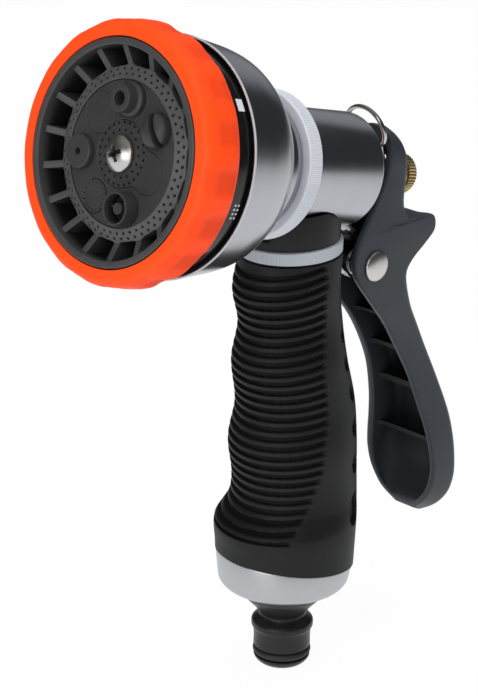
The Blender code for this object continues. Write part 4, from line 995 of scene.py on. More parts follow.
    def ferrule(self) -> None:
        """Chrome end cap: a rounded foot, a wall that widens a little and a slanted upper edge."""
        angle = circle(144)
        lip = self.ferrule_lip_r
        arc = np.radians(np.linspace(0.0, 90.0, 16))
        foot_r = self.ferrule_r - 0.6
        foot = np.column_stack([foot_r - self.ferrule_run * (1.0 - np.sin(arc)),
                                self.ferrule_foot + self.ferrule_rise * (1.0 - np.cos(arc))])
        foot = np.concatenate([[(lip, self.ferrule_foot + 0.3), (lip + 0.3, self.ferrule_foot)], foot])
        rings = [ring_points(r, angle, z) for r, z in foot]
        for r, drop in ((self.ferrule_r + 0.1, 0.35), (self.ferrule_r, 0.1), (self.ferrule_r - 0.3, 0.0),
                        (self.tube_r, 0.0)):
            ring = ring_points(r, angle, 0.0)
            ring[:, 2] = self.sleeve_foot - self.border_slope * ring[:, 1] - drop
            rings.append(ring)
        rings += [ring_points(r, angle, self.ferrule_foot + 1.2) for r in (self.tube_r, lip)]
        self.shop.piece("end_cap", weave(np.stack(rings), along=True), CAP_CHROME, "nozzle", GRIP,
                        ["end_ferrule"])

    def tail(self) -> None:
        """Quick-connect tail with softened collars, and its O-ring."""
        seat = self.ferrule_foot - GAP
        body = turned(softened((
            *self.tail_profile, (13.1, seat, 0.2), (self.tail_neck_r, seat, 0.0),
            (self.tail_neck_r, self.tail_top, 0.4), (self.tail_bore_r, self.tail_top, 0.2)), 7), 112)
        self.shop.piece("hose_tail", body, TAIL_BLACK, "nozzle", GRIP, ["hose_connector"], 40.0)
        ring = circle(24)
        profile = np.column_stack([7.5 + 0.75 * np.cos(ring), 3.3 + 1.0 * np.sin(ring)])
        self.shop.piece("tail_o_ring", turned(profile, 96), SEAL, "nozzle", GRIP, ["connector_o_ring"])


# ================================================================ dial
class Spray(Enum):
    """The spray patterns round the dial, by their place."""

    FAN = 0
    JET = 1
    SHOWER = 2
    MIST = 3
    SOAKER = 4
    CONE = 5
    FULL = 6


@dataclass
class Dial:
    """Turning head: body, marked band, orange ring, face with its holes, and the spray inserts."""

    shop: Workshop
    front: float = 67.0
    outer_r: float = 28.6
    bore_r: float = 26.7
    rear: float = 44.3
    floor: float = 47.7
    floor_thick: float = 2.0
    hub_r: float = 3.9
    band_r: float = 30.0
    band: tuple[float, float] = (48.3, 53.1)
    first_mark: float = math.radians(36.8)
    ring_r: float = 33.6
    ring_span: tuple[float, float] = (53.3, 66.8)
    scoops: int = 18
    scoop_depth: float = 0.65
    face: float = 63.2
    face_thick: float = 2.0
    disc_r: float = 18.4
    plate_r: float = 21.9
    lobe: float = 0.8
    pin_ring_r: float = 18.75
    ring_slope: float = 0.32        # how the ring of pin holes falls away outwards
    windows: int = 18
    window_phase: float = 0.43
    fin_half: float = 0.95
    fin_foot: float = 55.0
    pattern_r: float = 13.9
    first_pattern: float = math.radians(35.6)
    hole_r: float = 0.33

    def build(self) -> None:
        """Make all the pieces of the dial."""
        self.body()
        self.index_band()
        self.grip_ring()
        self.sprinkler_ring()
        self.pattern_disc()
        self.fins()
        self.inserts()

    def spot(self, spray: Spray) -> tuple[float, float]:
        """Return the place of a spray pattern on the face, as (x, y)."""
        angle = self.first_pattern + spray.value * 2.0 * math.pi / len(Spray)
        return self.pattern_r * math.cos(angle), self.pattern_r * math.sin(angle)

    def body(self) -> None:
        """Black body: an outer wall with a rounded rim, and a floor."""
        behind, ahead = self.floor, self.floor + self.floor_thick
        profile = softened((
            (self.bore_r, self.rear), (self.outer_r, self.rear), (self.outer_r, self.front, 0.55),
            (self.bore_r, self.front, 0.6), (self.bore_r, ahead, 0.5), (self.hub_r, ahead),
            (self.hub_r, behind), (self.bore_r, behind)), 6)
        wall = np.linspace(self.front - 1.4, self.face - 2.6, 6)
        at = int(np.argmin(np.hypot(profile[:, 0] - self.bore_r, profile[:, 1] - self.front + 0.6))) + 1
        profile = np.insert(profile, at, np.column_stack([np.full(6, self.bore_r), wall]), axis=0)
        # painted shade: the inner wall of the dial, down behind the face, is marked as recess and darkens
        inside = 1.0 - ease(profile[:, 0], self.bore_r + 0.02, self.bore_r + 0.4)
        recess = inside * (1.0 - ease(profile[:, 1], self.face - 1.0, self.front - 0.9))
        shell = turned(np.column_stack([profile, recess]), 160)
        self.shop.piece("dial_wall", shell, RING_GREY, "dial", BARREL, ["dial_body"])

    def index_band(self) -> None:
        """Glossy band behind the orange ring, with a plain mark of bars and dots for each pattern."""
        low, high = self.band
        profile = softened(((self.outer_r, low), (self.band_r, low, 0.25), (self.band_r, high, 0.2),
                            (self.outer_r, high)), 5)
        self.shop.piece("index_band", turned(profile, 160), BAND_BLACK, "dial", BARREL)
        marks = []
        # each mark is a few pads: (across, along, width, length)
        layouts = (((0.0, 0.0, 3.3, 2.2),), self.dots(2, 4), self.dots(1, 3), self.dots(2, 2),
                   ((-1.2, 0.0, 0.5, 2.4), (1.2, 0.0, 0.5, 2.4)), self.dots(3, 3), ((0.0, 0.0, 0.6, 3.0),))
        centre = 0.5 * (low + high) - 0.75
        for place, layout in enumerate(layouts):
            middle = self.first_mark - place * 2.0 * math.pi / len(Spray)
            for across, along, width, length in layout:
                marks.append(self.pad(middle + across / self.band_r, centre + along, width, length))
        self.shop.piece("index_marks", together(marks), MARK_WHITE, "dial", BARREL)

    @staticmethod
    def dots(rows: int, columns: int) -> tuple[tuple[float, float, float, float], ...]:
        """Return a block of small square dots as (across, along, width, length)."""
        pitch = 1.15
        return tuple(((c - 0.5 * (columns - 1)) * pitch, (r - 0.5 * (rows - 1)) * pitch, 0.5, 0.5)
                     for c in range(columns) for r in range(rows))

    def pad(self, angle: float, along: float, width: float, length: float) -> Surface:
        """Return a thin pad bent round the band.

        Args:
            angle: its middle round the band.
            along: its middle along the barrel axis.
            width: its size round the band.
            length: its size along the axis.

        Returns:
            The pad.
        """
        turn = angle + np.linspace(-0.5, 0.5, 5) * width / self.band_r
        rows = []
        for lift, inset in ((-0.1, 0.0), (0.03, 0.0), (0.05, 0.06)):
            near = ring_points(self.band_r + lift, turn, along - 0.5 * length + inset)
            far = near[::-1].copy()
            far[:, 2] = along + 0.5 * length - inset
            rows.append(np.concatenate([near, far]))
        return weave(np.stack(rows))

    def grip_ring(self) -> None:
        """Soft orange ring.

        The profile is softened corners; a scoop takes scoop_depth off the radius inside a rounded
        window, which is a smooth step of cos(n a) times a smooth rise and fall along the width.
        """
        low, high = self.ring_span
        inner = self.outer_r + GAP
        width = high - low
        crest = self.ring_r
        corners = ((inner, low, 0.2), (crest - 3.0, low, 0.8), (crest - 0.9, low + 0.13 * width, 1.2),
                   (crest, low + 0.3 * width, 1.6), (crest, low + 0.78 * width, 1.3),
                   (crest - 0.7, low + 0.93 * width, 0.7), (crest - 1.9, high, 0.7), (inner, high, 0.25))
        outline = softened(corners, 9)
        flat = []
        for start, end in zip(outline, np.roll(outline, -1, axis=0)):
            count = max(1, int(np.linalg.norm(end - start) / 0.45))
            flat.append(start + np.linspace(0.0, 1.0, count, endpoint=False)[:, None] * (end - start))
        profile = np.concatenate(flat)

        def scoop(rows: Array, angle: Array) -> Array:
            """Work out the depth of the scoops.

            Args:
                rows: points of the profile.
                angle: angles round the ring.

            Returns:
                The depth in millimetres at each (profile row, angle).
            """
            share = (rows[:, 1] - low) / width
            on_outside = ease(rows[:, 0], inner + 0.6, inner + 2.2)
            front = ease(share, 0.55, 0.72)
            across = ease(share, 0.06, 0.2) * (1.0 - 0.6 * front) * (1.0 - ease(share, 0.88, 1.0))
            run = ease(np.cos(self.scoops * angle), -0.8, 0.75)
            return self.scoop_depth * (on_outside * across)[:, None] * run[None, :]

        self.shop.piece("orange_ring", turned(profile, self.scoops * 24, scoop), ORANGE, "dial", BARREL,
                        ["dial_grip_ring"], 60.0)

    def pin_holes(self, x: Array, y: Array, rings: Sequence[tuple[float, int, float]]) -> Array:
        """Return how far the surface sinks at pin holes.

        Args:
            x, y: places on the face.
            rings: rows of (radius, count, phase in pitches).

        Returns:
            1 inside a hole, 0 away from it, with a smooth edge.
        """
        radius, angle = np.hypot(x, y), np.arctan2(y, x)
        depth = np.zeros_like(radius)
        for ring, count, phase in rings:
            pitch = 2.0 * math.pi / count
            off = (angle / pitch - phase + 0.5) % 1.0 - 0.5
            away = np.hypot(off * pitch * ring, radius - ring)
            depth = np.maximum(depth, 1.0 - ease(away, self.hole_r - 0.08, self.hole_r + 0.06))
        return depth

    def sprinkler_ring(self) -> None:
        """Raised ring of pin holes; its outer edge reaches out to each fin.

        The outer radius is plate_r + lobe (0.5 + 0.5 cos(n (a - fin)))^4.
        """
        inner = self.pin_ring_r
        columns = self.windows * 48
        angle = circle(columns)
        fin = (self.window_phase + 0.5) * 2.0 * math.pi / self.windows
        peak = (0.5 + 0.5 * np.cos(self.windows * (angle - fin))) ** 4
        edge = self.plate_r + self.lobe * peak
        share = np.linspace(0.0, 1.0, 38)[:, None]
        radius = inner + share * (edge - 0.2 - inner)
        fall = (radius - inner) * self.ring_slope
        x, y = radius * np.cos(angle), radius * np.sin(angle)
        holes = self.pin_holes(x, y, ((19.75, 54, 0.0), (21.1, 54, 0.5)))
        # painted shade: the pin holes are marked as recess and darken
        surface = marked(np.stack([x, y, self.face + GAP - fall - 0.7 * holes], axis=-1), holes)
        low = self.face + GAP - (edge - inner) * self.ring_slope
        foot, ledge = self.face - 4.5, self.face - 0.35
        rim = [ring_points(r, angle, z) for r, z in (
            (edge - 0.05, low - 0.05), (edge, low - 0.2), (edge, foot), (inner - 0.75, foot),
            (inner - 0.75, ledge), (inner - 0.3, ledge), (inner - 0.25, self.face + 0.2))]
        # painted shade: the ring's sides and foot are marked as recess and darken
        deep = np.array([0.0, 0.3, 1.0, 1.0, 1.0, 1.0, 0.3])[:, None]
        grid = np.concatenate([surface, marked(np.stack(rim), deep)])
        # painted light: the ring wears the lighter copy of the face's black
        self.shop.piece("sprinkler_ring", weave(grid, along=True), PIN_RING_LIT, "dial", BARREL,
                        ["face_plate"], 40.0)

    def seams(self, x: Array, y: Array) -> Array:
        """Return how near a place is to a seam, 1 on it and 0 away.

        The seams are the edges of discs: the middle one joined smoothly to the lobe of the last
        pattern, and one disc each round the jet, the shower lobe and the soaker.

        Args:
            x: places across the face.
            y: places up the face.

        Returns:
            The nearness at each place.
        """
        def disc(cx: float, cy: float, r: float) -> Array:
            """Return the signed distance to a disc's edge."""
            return np.hypot(x - cx, y - cy) - r

        lobe, jet, shower = self.spot(Spray.FULL), self.spot(Spray.JET), self.spot(Spray.SHOWER)
        middle, side = disc(0.0, 0.0, 8.6), disc(0.74 * lobe[0], 0.74 * lobe[1], 5.4)
        blend = np.clip(0.5 + 0.5 * (side - middle) / 2.4, 0.0, 1.0)
        joined = side * (1.0 - blend) + middle * blend - 2.4 * blend * (1.0 - blend)
        outer_lobe = disc(shower[0] * 0.93, shower[1] * 0.93, 5.4)
        round_jet = disc(jet[0] - 0.3, jet[1] - 0.2, 5.5)
        round_soaker = disc(*self.spot(Spray.SOAKER), 4.3)
        depth = np.zeros_like(x)
        for line, width, sink in ((joined, 0.14, 1.0), (outer_lobe, 0.14, 0.8), (round_jet, 0.14, 0.8),
                                  (round_soaker, 0.16, 1.0)):
            depth = np.maximum(depth, sink * (1.0 - ease(np.abs(line), 0.02, width)))
        inside = np.minimum(middle, side) < -0.3
        hidden = inside & (np.minimum(np.abs(outer_lobe), np.abs(round_jet)) < 0.3)
        return np.where(hidden, 0.0, depth)

    def pattern_disc(self) -> None:
        """Middle of the face: fine seams round the lobes, and two rows of pin holes round the screw."""
        angle = circle(780)[None, :]
        radius = np.linspace(self.hub_r, self.disc_r - 0.15, 112)[:, None]
        x, y = radius * np.cos(angle), radius * np.sin(angle)
        away = np.minimum.reduce([np.hypot(x - self.spot(s)[0], y - self.spot(s)[1]) for s in Spray])
        holes = self.pin_holes(x, y, ((7.85, 26, 0.0), (5.95, 17, 0.3))) * (away > 4.4)
        seams = self.seams(x, y)
        top = self.face - 0.22 * seams - 0.8 * holes
        # painted shade in the pin holes and on the back: they are marked as recess and darken; the seams
        # darken by the same mark
        surface = marked(np.stack([x, y, top], axis=-1), np.maximum(0.8 * seams, holes))
        back = self.face - self.face_thick
        rim = [ring_points(r, angle[0], z)
               for r, z in ((self.disc_r, self.face - 0.12), (self.disc_r, back), (self.hub_r, back))]
        grid = np.concatenate([surface, marked(np.stack(rim), 1.0)])
        self.shop.piece("pattern_disc", weave(grid, along=True), DIAL_BLACK, "dial", BARREL,
                        ["face_plate"], 40.0)

    def fins(self) -> None:
        """Fins that carry the face in the dial: thin radial plates whose tops rise to the rim."""
        fins = []
        inner, outer, half, foot = self.plate_r - 0.3, self.bore_r + 0.3, self.fin_half, self.fin_foot
        for k in range(self.windows):
            rows = []
            for radius in np.linspace(inner, outer, 6):
                rise = self.face - 1.1 + 0.56 * (radius - inner)
                outline = softened(((-half, foot), (half, foot), (half, rise, 0.3), (-half, rise, 0.3)), 4)
                # painted shade: a fin's sides below its top are marked as recess, so the windows between fins
                # look dark
                sunk = 1.0 - ease(outline[:, 1], rise - 0.6, rise - 0.1)
                rows.append(np.column_stack([np.full(len(outline), radius), outline, sunk]))
            turn = (k + self.window_phase + 0.5) * 2.0 * math.pi / self.windows
            fins.append(weave(np.stack(rows)).spun(turn))
        self.shop.piece("face_fins", together(fins), RING_GREY, "dial", BARREL, ["face_plate"])

    def inserts(self) -> None:
        """Make the five spray inserts, each round its own place on the face."""
        base = self.face
        foot = self.floor + self.floor_thick + GAP
        jet = softened(((2.5, foot), (4.5, base + GAP, 0.1), (4.5, base + 1.5, 0.5), (3.55, base + 1.9, 0.4),
                        (3.5, base + 5.0, 0.45), (1.85, base + 5.0, 0.25), (1.7, base - 1.0), (1.6, foot)),
                       6)
        self.insert("jet_tube", Spray.JET, jet, "jet_insert", 1.75)
        mist = softened(((2.4, foot), (4.35, base + 0.1), (4.35, base + 2.0, 0.6), (0.95, base + 2.0, 0.15),
                         (0.8, base - 1.0), (0.8, foot)), 6)
        self.insert("mist_drum", Spray.MIST, mist, "mist_insert", 0.9)
        cone = softened(((2.6, foot), (4.3, base + 0.1), (4.25, base + 4.4, 0.25), (3.7, base + 4.4, 0.2),
                         (3.5, base + 0.6, 0.5), (2.2, base + 0.6), (2.2, foot)), 6)
        pillar = softened(((0.0, base - 2.0), (1.55, base - 2.0), (1.5, base + 3.4, 0.25), (0.0, base + 3.4)),
                          5, closed=False)
        bar = slab(np.array([(0.8, -0.3), (3.7, -0.3), (3.7, 0.3), (0.8, 0.3)]), base + 0.4, base + 1.9, 0.1)
        core = [turned(pillar, 40, closed=False), *(bar.spun(math.radians(a)) for a in (-60.0, 60.0, 180.0))]
        self.insert("cone_cup", Spray.CONE, cone, "cone_insert", 3.62, together(core))
        self.fan(foot)
        self.soaker(foot)

    def insert(self, name: str, spray: Spray, profile: Array, node: str, bore: float,
               extra: Surface | None = None) -> None:
        """Turn an insert's profile, with its bore marked as a recess, and put it in its place on the face.

        Args:
            name: the piece's name.
            spray: the pattern that it makes.
            profile: its profile points.
            node: the CAD node that it stands for.
            bore: radius up to which the surface counts as inside the bore.
            extra: more surface inside it.
        """
        # painted shade: the bore below the top is marked as recess and darkens
        below = profile[:, 1].max() - profile[:, 1]
        depth = ease(below, 0.1, 1.4) * (1.0 - ease(profile[:, 0], bore, bore + 0.12))
        whole = turned(np.column_stack([profile, depth]), 72)
        if extra is not None:
            whole = whole + extra
        x, y = self.spot(spray)
        self.shop.piece(name, whole.shifted(x, y), DIAL_BLACK, "dial", BARREL, [node])

    def soaker(self, foot: float) -> None:
        """Soaker insert: a flush disc in a groove, and round it a low ring with 16 fine ticks.

        A tick is a smooth step of cos(16 a) times a smooth rise and fall of the radius.

        Args:
            foot: height of its rear end.
        """
        size, columns = 4.2, circle(192)
        radius = np.linspace(0.02, size, 54)[::-1, None]
        x, y = radius * np.cos(columns), radius * np.sin(columns)
        groove = 1.0 - ease(np.abs(radius - 3.2), 0.08, 0.2)
        on_ring = ease(radius, 3.3, 3.4) * (1.0 - ease(radius, 3.95, 4.05))
        tick = ease(np.cos(16.0 * columns), 0.45, 0.8) * on_ring
        # painted shade: the groove and the ticks are marked as recess and darken
        sunk = np.maximum(groove + 0.0 * columns, tick)
        top = self.face + 0.16 * ease(radius, 3.3, 3.5) - 0.3 * groove - 0.14 * tick + 0.04
        surface = marked(np.stack([x, y, top], axis=-1), sunk)
        rim = [ring_points(r, columns, z) for r, z in ((2.6, foot), (size, self.face - 0.3))]
        x, y = self.spot(Spray.SOAKER)
        disc = weave(np.concatenate([marked(np.stack(rim)), surface])).shifted(x, y)
        self.shop.piece("soaker_disc", disc, DIAL_BLACK, "dial", BARREL, ["soak_insert"], 50.0)

    def fan(self, foot: float) -> None:
        """Fan insert: a dome with a wide slot across it.

        The height is a dome, 2.1 sqrt(1 - (r/R)^2) above the seat, less a slot whose depth is a smooth
        step of the distance from the slot's middle line.

        Args:
            foot: height of its rear end.
        """
        base, size = self.face, 4.45
        angle = circle(96)[None, :]
        radius = np.linspace(0.02, size - 0.05, 44)[::-1, None]
        x, y = radius * np.cos(angle), radius * np.sin(angle)
        dome = base + 1.5 + 2.1 * np.sqrt(np.clip(1.0 - (radius / size) ** 2, 0.0, 1.0)) + 0.0 * angle
        lean = math.radians(120.0)
        off = np.abs(-math.sin(lean) * x + math.cos(lean) * y + 0.9)
        slot = 1.0 - ease(off, 0.4, 0.95)
        top = dome - slot * (dome - base - 0.5)
        # painted shade: the slot is marked as recess and darkens
        surface = marked(np.stack([x, y, top], axis=-1), slot)
        rim = [ring_points(r, angle[0], z)
               for r, z in ((2.6, foot), (size, base + 0.1), (size, base + 0.9))]
        grid = np.concatenate([marked(np.stack(rim)), surface])
        x, y = self.spot(Spray.FAN)
        dome = weave(grid).shifted(x, y)
        self.shop.piece("fan_dome", dome, DIAL_BLACK, "dial", BARREL, ["fan_insert"], 50.0)


# ================================================================ valve ends, fasteners and trigger
@dataclass
class Works:
    """What shows of the valve train, and the fasteners."""

    shop: Workshop
    stem_r: float = 2.0
    stem_rear: float = -46.4
    stem_nose: float = 15.2
    flange: tuple[float, float, float] = (6.2, 9.1, 10.6)   # radius, rear, front
    gland: tuple[float, float] = (-23.3, -20.0)
    gland_corner: float = 9.2
    nut: tuple[float, float] = (-46.1, -40.7)
    nut_r: float = 5.65
    nut_teeth: int = 40
    screw_r: float = 4.65
    screw_seat: float = 63.5
    cross: tuple[float, float] = (0.52, 2.15)               # half width and reach of the recess's arms
    pin_half: float = 8.8
    pin_head_r: float = 4.4

    def build(self) -> None:
        """Make the gland nut, the stem, the adjusting nut, the dial screw and the pivot pin."""
        self.gland_nut()
        self.stem()
        self.adjusting_nut()
        self.screw()
        self.pin()

    def gland_nut(self) -> None:
        """Hexagonal nut, chamfered by a turned cone.

        The radius follows corner cos(30) / cos((a + 30) mod 60 - 30), in degrees.
        """
        rear, front = self.gland
        angle = circle(180)
        half_side = math.pi / 6.0
        off = (angle + half_side) % (2.0 * half_side) - half_side
        hexagon = self.gland_corner * math.cos(half_side) / np.cos(off)
        rows = ((2.3, rear + 0.4), (2.6, rear), (7.6, rear), (8.3, rear + 0.35), (math.inf, rear + 0.9),
                (math.inf, front), (6.3, front), (6.3, front + 6.1), (2.3, front + 6.1))
        grid = np.stack([ring_points(np.minimum(r, hexagon), angle, z) for r, z in rows])
        self.shop.piece("gland_hexagon", weave(grid, along=True), BRASS, "nozzle", BARREL, ["gland_nut"])

    def stem(self) -> None:
        """Brass stem with its flange, nose and a chamfered tail."""
        tail, nose, radius = self.stem_rear, self.stem_nose, self.stem_r
        flange_r, behind, ahead = self.flange
        corners = ((0.0, tail), (radius - 0.4, tail, 0.1), (radius, tail + 0.4, 0.1),
                   (radius, behind, 0.1), (flange_r, behind, 0.2), (flange_r, ahead, 0.2), (2.8, ahead),
                   (2.8, nose - 0.5, 0.3), (2.3, nose, 0.2), (0.0, nose))
        profile = softened(corners, 4, closed=False)
        self.shop.piece("stem_rod", turned(profile, 64, closed=False), BRASS, "stem", BARREL, ["valve_stem"])

    def adjusting_nut(self) -> None:
        """Knurled nut: a wave of 0.5 + 0.5 cos(n a) cuts its teeth, and a waist sets off the collar."""
        rear, front = self.nut
        bore, outer, waist = self.stem_r + GAP, self.nut_r, 4.9
        corners = ((bore, rear, 0.2), (4.6, rear, 0.5), (outer, rear + 0.8, 0.2), (outer, front - 1.6, 0.2),
                   (waist, front - 1.4, 0.1), (waist, front - 0.9, 0.2), (4.2, front, 0.2), (bore, front))
        outline = softened(corners, 5)

        def teeth(rows: Array, angle: Array) -> Array:
            """Return the depth of the knurl."""
            on_face = ease(rows[:, 0], waist, 5.4)
            return 0.24 * on_face[:, None] * (0.5 + 0.5 * np.cos(self.nut_teeth * angle))[None, :]

        nut = turned(outline, 8 * self.nut_teeth, teeth)
        self.shop.piece("knurled_nut", nut, BRASS, "nut", BARREL, ["adjusting_nut"])

    def screw(self) -> None:
        """Polished pan head with a cross recess.

        The head's height is 1.75 (1 - (r/R)^2.3) above its shoulder; the recess sinks where the place
        is inside either arm of a cross or its round middle, and its walls slope.
        """
        seat, reach = self.screw_seat, self.screw_r
        angle = circle(200)[None, :]
        radius = np.linspace(0.01, reach - 0.06, 80)[::-1, None]
        x, y = radius * np.cos(angle), radius * np.sin(angle)
        dome = seat + 0.75 + 1.75 * (1.0 - (radius / reach) ** 2.3) + 0.0 * angle
        lean = math.radians(28.0)
        u, v = math.cos(lean) * x + math.sin(lean) * y, -math.sin(lean) * x + math.cos(lean) * y
        half, reach_out = self.cross
        arm = np.minimum(np.maximum(np.abs(u) - half, np.abs(v) - reach_out),
                         np.maximum(np.abs(v) - half, np.abs(u) - reach_out))
        inside = 1.0 - ease(np.minimum(arm, np.hypot(u, v) - 1.05), -0.2, 0.08)
        # painted shade: the cross recess is marked and darkens
        surface = marked(np.stack([x, y, dome - 1.7 * inside], axis=-1), ease(inside, 0.25, 0.8))
        rim = [ring_points(r, angle[0], z)
               for r, z in ((1.6, seat - 12.0), (1.6, seat), (reach - 0.1, seat), (reach, seat + 0.12),
                            (reach, seat + 0.55))]
        grid = np.concatenate([marked(np.stack(rim)), surface])
        self.shop.piece("cross_head_screw", weave(grid), RIVET, "nozzle", BARREL, ["dial_screw"], 38.0)

    def pin(self) -> None:
        """Pivot rivet with a low domed head on each side."""
        head, radius = self.pin_half, self.pin_head_r
        arc = np.linspace(0.0, 1.0, 14)
        dome = np.column_stack([radius * np.sqrt(1.0 - arc ** 2), head + 1.5 * arc])
        half = np.concatenate([[(2.0, head), (radius, head)], dome[1:]])
        mirrored = half[::-1] * np.array([1.0, -1.0])
        profile = np.concatenate([mirrored, half])
        self.shop.piece("pivot_rivet", turned(profile, 72, closed=False).laid(), RIVET, "nozzle", PIVOT,
                        ["trigger_pin"], 50.0)


@dataclass
class Trigger:
    """Rear lever and the hold-open wire."""

    shop: Workshop
    wall: float = 2.2
    sections: tuple[tuple[tuple[float, float], tuple[float, float], float, float], ...] = (
        ((-2.5, 37.6), (0.4, 37.8), 2.4, 2.0), ((-2.6, 36.2), (2.4, 36.0), 5.4, 2.4),
        ((-2.7, 33.6), (4.6, 33.2), 7.7, 3.2), ((-2.6, 29.5), (6.5, 29.3), 8.5, 3.6),
        ((-2.7, 24.7), (7.4, 24.7), 8.5, 3.8), ((-4.4, 18.0), (8.2, 19.6), 8.5, 3.8),
        ((-5.9, 13.2), (9.4, 15.4), 8.5, 4.2), ((-6.9, 9.9), (13.2, 13.3), 8.5, 7.0),
        ((-7.9, 6.6), (20.6, 15.2), 8.5, 12.0), ((-8.4, 3.8), (22.9, 11.5), 8.5, 13.0),
        ((-8.5, 1.0), (20.2, 7.1), 8.5, 8.0), ((-7.4, -2.4), (17.2, 2.2), 8.5, 4.4),
        ((-4.4, -5.8), (16.2, -2.6), 8.5, 2.8), ((3.9, -12.0), (20.4, -10.5), 8.4, 2.4),
        ((10.8, -17.1), (25.8, -16.7), 8.1, 2.4), ((17.2, -23.2), (31.4, -23.2), 8.1, 2.4),
        ((24.6, -31.5), (38.2, -31.8), 9.0, 2.4), ((30.8, -41.2), (44.9, -41.8), 10.6, 2.4),
        ((34.5, -48.0), (48.0, -49.6), 12.1, 2.4), ((37.2, -54.4), (49.6, -56.7), 13.2, 2.4),
        ((39.0, -59.4), (50.4, -62.0), 13.3, 2.4), ((40.9, -64.9), (50.9, -67.2), 11.8, 2.4),
        ((42.9, -69.8), (50.5, -71.7), 8.4, 2.2), ((45.6, -73.6), (49.4, -74.4), 3.6, 1.6))
    channel: tuple[float, float] = (2.1, 22.6)
    ribs: tuple[float, ...] = (13.7, 15.25, 16.45, 18.4)
    rib_share: float = 0.09
    rib_recess: float = 5.0
    slot_half: float = 2.5
    slot_span: tuple[float, float] = (24.7, 27.9)
    wire_r: float = 0.65
    clip_lean: float = math.radians(26.2)
    clip_height: float = 18.3
    clip_leg: float = 5.3
    clip_arch: float = 7.0

    def build(self) -> None:
        """Make the lever and the wire."""
        self.lever()
        self.clip()

    def stations(self) -> Array:
        """Choose the lever's stations: an even run, with close groups at the edges of each rib.

        Returns:
            Rising positions, as numbers of sections.
        """
        last = len(self.sections) - 1.0
        even = np.linspace(0.0, last, 300)
        edges = [rib + side * self.rib_share * share for rib in self.ribs for side in (-1.0, 1.0)
                 for share in (0.93, 1.0, 1.12)]
        return np.unique(np.concatenate([even, edges]))

    def lever(self) -> None:
        """Lever as one grid: stations along it, and a closed outline of a channel across it.

        At a station the outline is a rounded box, depth deep from the rim to the back, with a channel
        whose floor lies at depth less the web.  The channel closes with a smooth step at both ends,
        and at a rib its floor rises to the rib's recess.
        """
        station = self.stations()
        rows = [(*rim, *back, half, web) for rim, back, half, web in self.sections]
        rim_b, rim_u, back_b, back_u, half, web = catmull(rows, station).T
        half = np.maximum(half, 0.5)
        span = np.column_stack([back_b - rim_b, back_u - rim_u])
        depth = np.linalg.norm(span, axis=1)
        direction = span / depth[:, None]
        open_share = ease(station, self.channel[0], self.channel[0] + 0.5)
        open_share = open_share * (1.0 - ease(station, self.channel[1] - 3.0, self.channel[1])) ** 0.5
        floor = np.maximum(depth - web, 0.2) * open_share
        for rib in self.ribs:
            near = np.abs(station - rib)
            lift = 1.0 - ease(near, self.rib_share, self.rib_share * 1.12)
            floor = floor * (1.0 - lift) + np.minimum(floor, self.rib_recess) * lift
        inner = np.maximum(half - self.wall, 0.3)
        horn = ease(station, 5.0, 6.8) * (1.0 - ease(station, 9.6, 11.4))
        bowl = ease(station, 17.5, 20.5)
        points = self.outline(half, depth, inner, floor, horn, bowl)
        # painted shade: the channel's inside darkens with its depth, less so in the bowl
        sunk = np.where(points[..., 2] > 0.0, ease(points[..., 1], 0.4, 4.5), 0.0)
        sunk = sunk * (1.0 - 0.55 * bowl)[:, None]
        grid = np.stack([points[..., 0],
                         rim_u[:, None] + direction[:, 1:] * points[..., 1],
                         -(rim_b[:, None] + direction[:, :1] * points[..., 1]), sunk], axis=-1)
        lever = self.shop.piece("lever", weave(grid), LEVER_GREY, "trigger", PIVOT, ["trigger"], 42.0)
        self.shop.carve(lever, self.slot(), PIVOT)

    @staticmethod
    def outline(half: Array, depth: Array, inner: Array, floor: Array, horn: Array, bowl: Array) -> Array:
        """Return the lever's cross-sections as (stations, points, (x, depth, inside)).

        Each rounded corner runs as a quarter of an ellipse, and the left half mirrors the right.

        Args:
            half: half width at each station.
            depth: depth from the rim to the back.
            inner: half width of the channel.
            floor: depth of the channel's floor.
            horn: where it is 1 the back's corners are tight and its middle is dished.
            bowl: where it is 1 the channel's corners are so wide that it becomes a bowl.

        Returns:
            The outlines; inside is 1 on the channel's own surface.
        """
        turn = np.linspace(0.0, 0.5 * math.pi, 9)[None, :]
        back_r = np.minimum(np.minimum(3.4 - 2.3 * horn, 0.6 * half), 0.45 * depth)[:, None]
        rim_r = np.minimum(0.8, 0.45 * (half - inner))[:, None]
        wide_r = np.minimum(2.6 + 9.0 * bowl, (0.45 + 0.5 * bowl) * inner)[:, None]
        high_r = np.minimum(2.6 + 4.0 * bowl, (0.48 + 0.3 * bowl) * floor)[:, None]
        dish = (1.3 * horn)[:, None]
        half, depth, inner, floor = (part[:, None] for part in (half, depth, inner, floor))
        rim_r = np.minimum(rim_r, np.maximum(0.2 * floor, 0.05))
        across_back = np.linspace(0.9, 0.0, 7)[None, :]
        parts = [
            (inner - wide_r + wide_r * np.sin(turn), floor - high_r * (1.0 - np.cos(turn))),
            (inner + rim_r - rim_r * np.cos(turn), rim_r - rim_r * np.sin(turn)),
            (half - rim_r + rim_r * np.sin(turn), rim_r - rim_r * np.cos(turn)),
            (half - back_r + back_r * np.cos(turn), depth - back_r + back_r * np.sin(turn)),
            ((half - back_r) * across_back, depth - dish * ease(1.0 - across_back, 0.05, 0.55)),
        ]
        across, deep = (np.concatenate([part[k] for part in parts], axis=1) for k in (0, 1))
        inside = np.broadcast_to(np.arange(across.shape[1]) < 2 * turn.size - 3, across.shape).astype(float)
        right = np.stack([across, deep, inside], axis=-1)
        left = right[:, ::-1] * np.array([-1.0, 1.0, 1.0])
        return np.concatenate([right, left], axis=1)

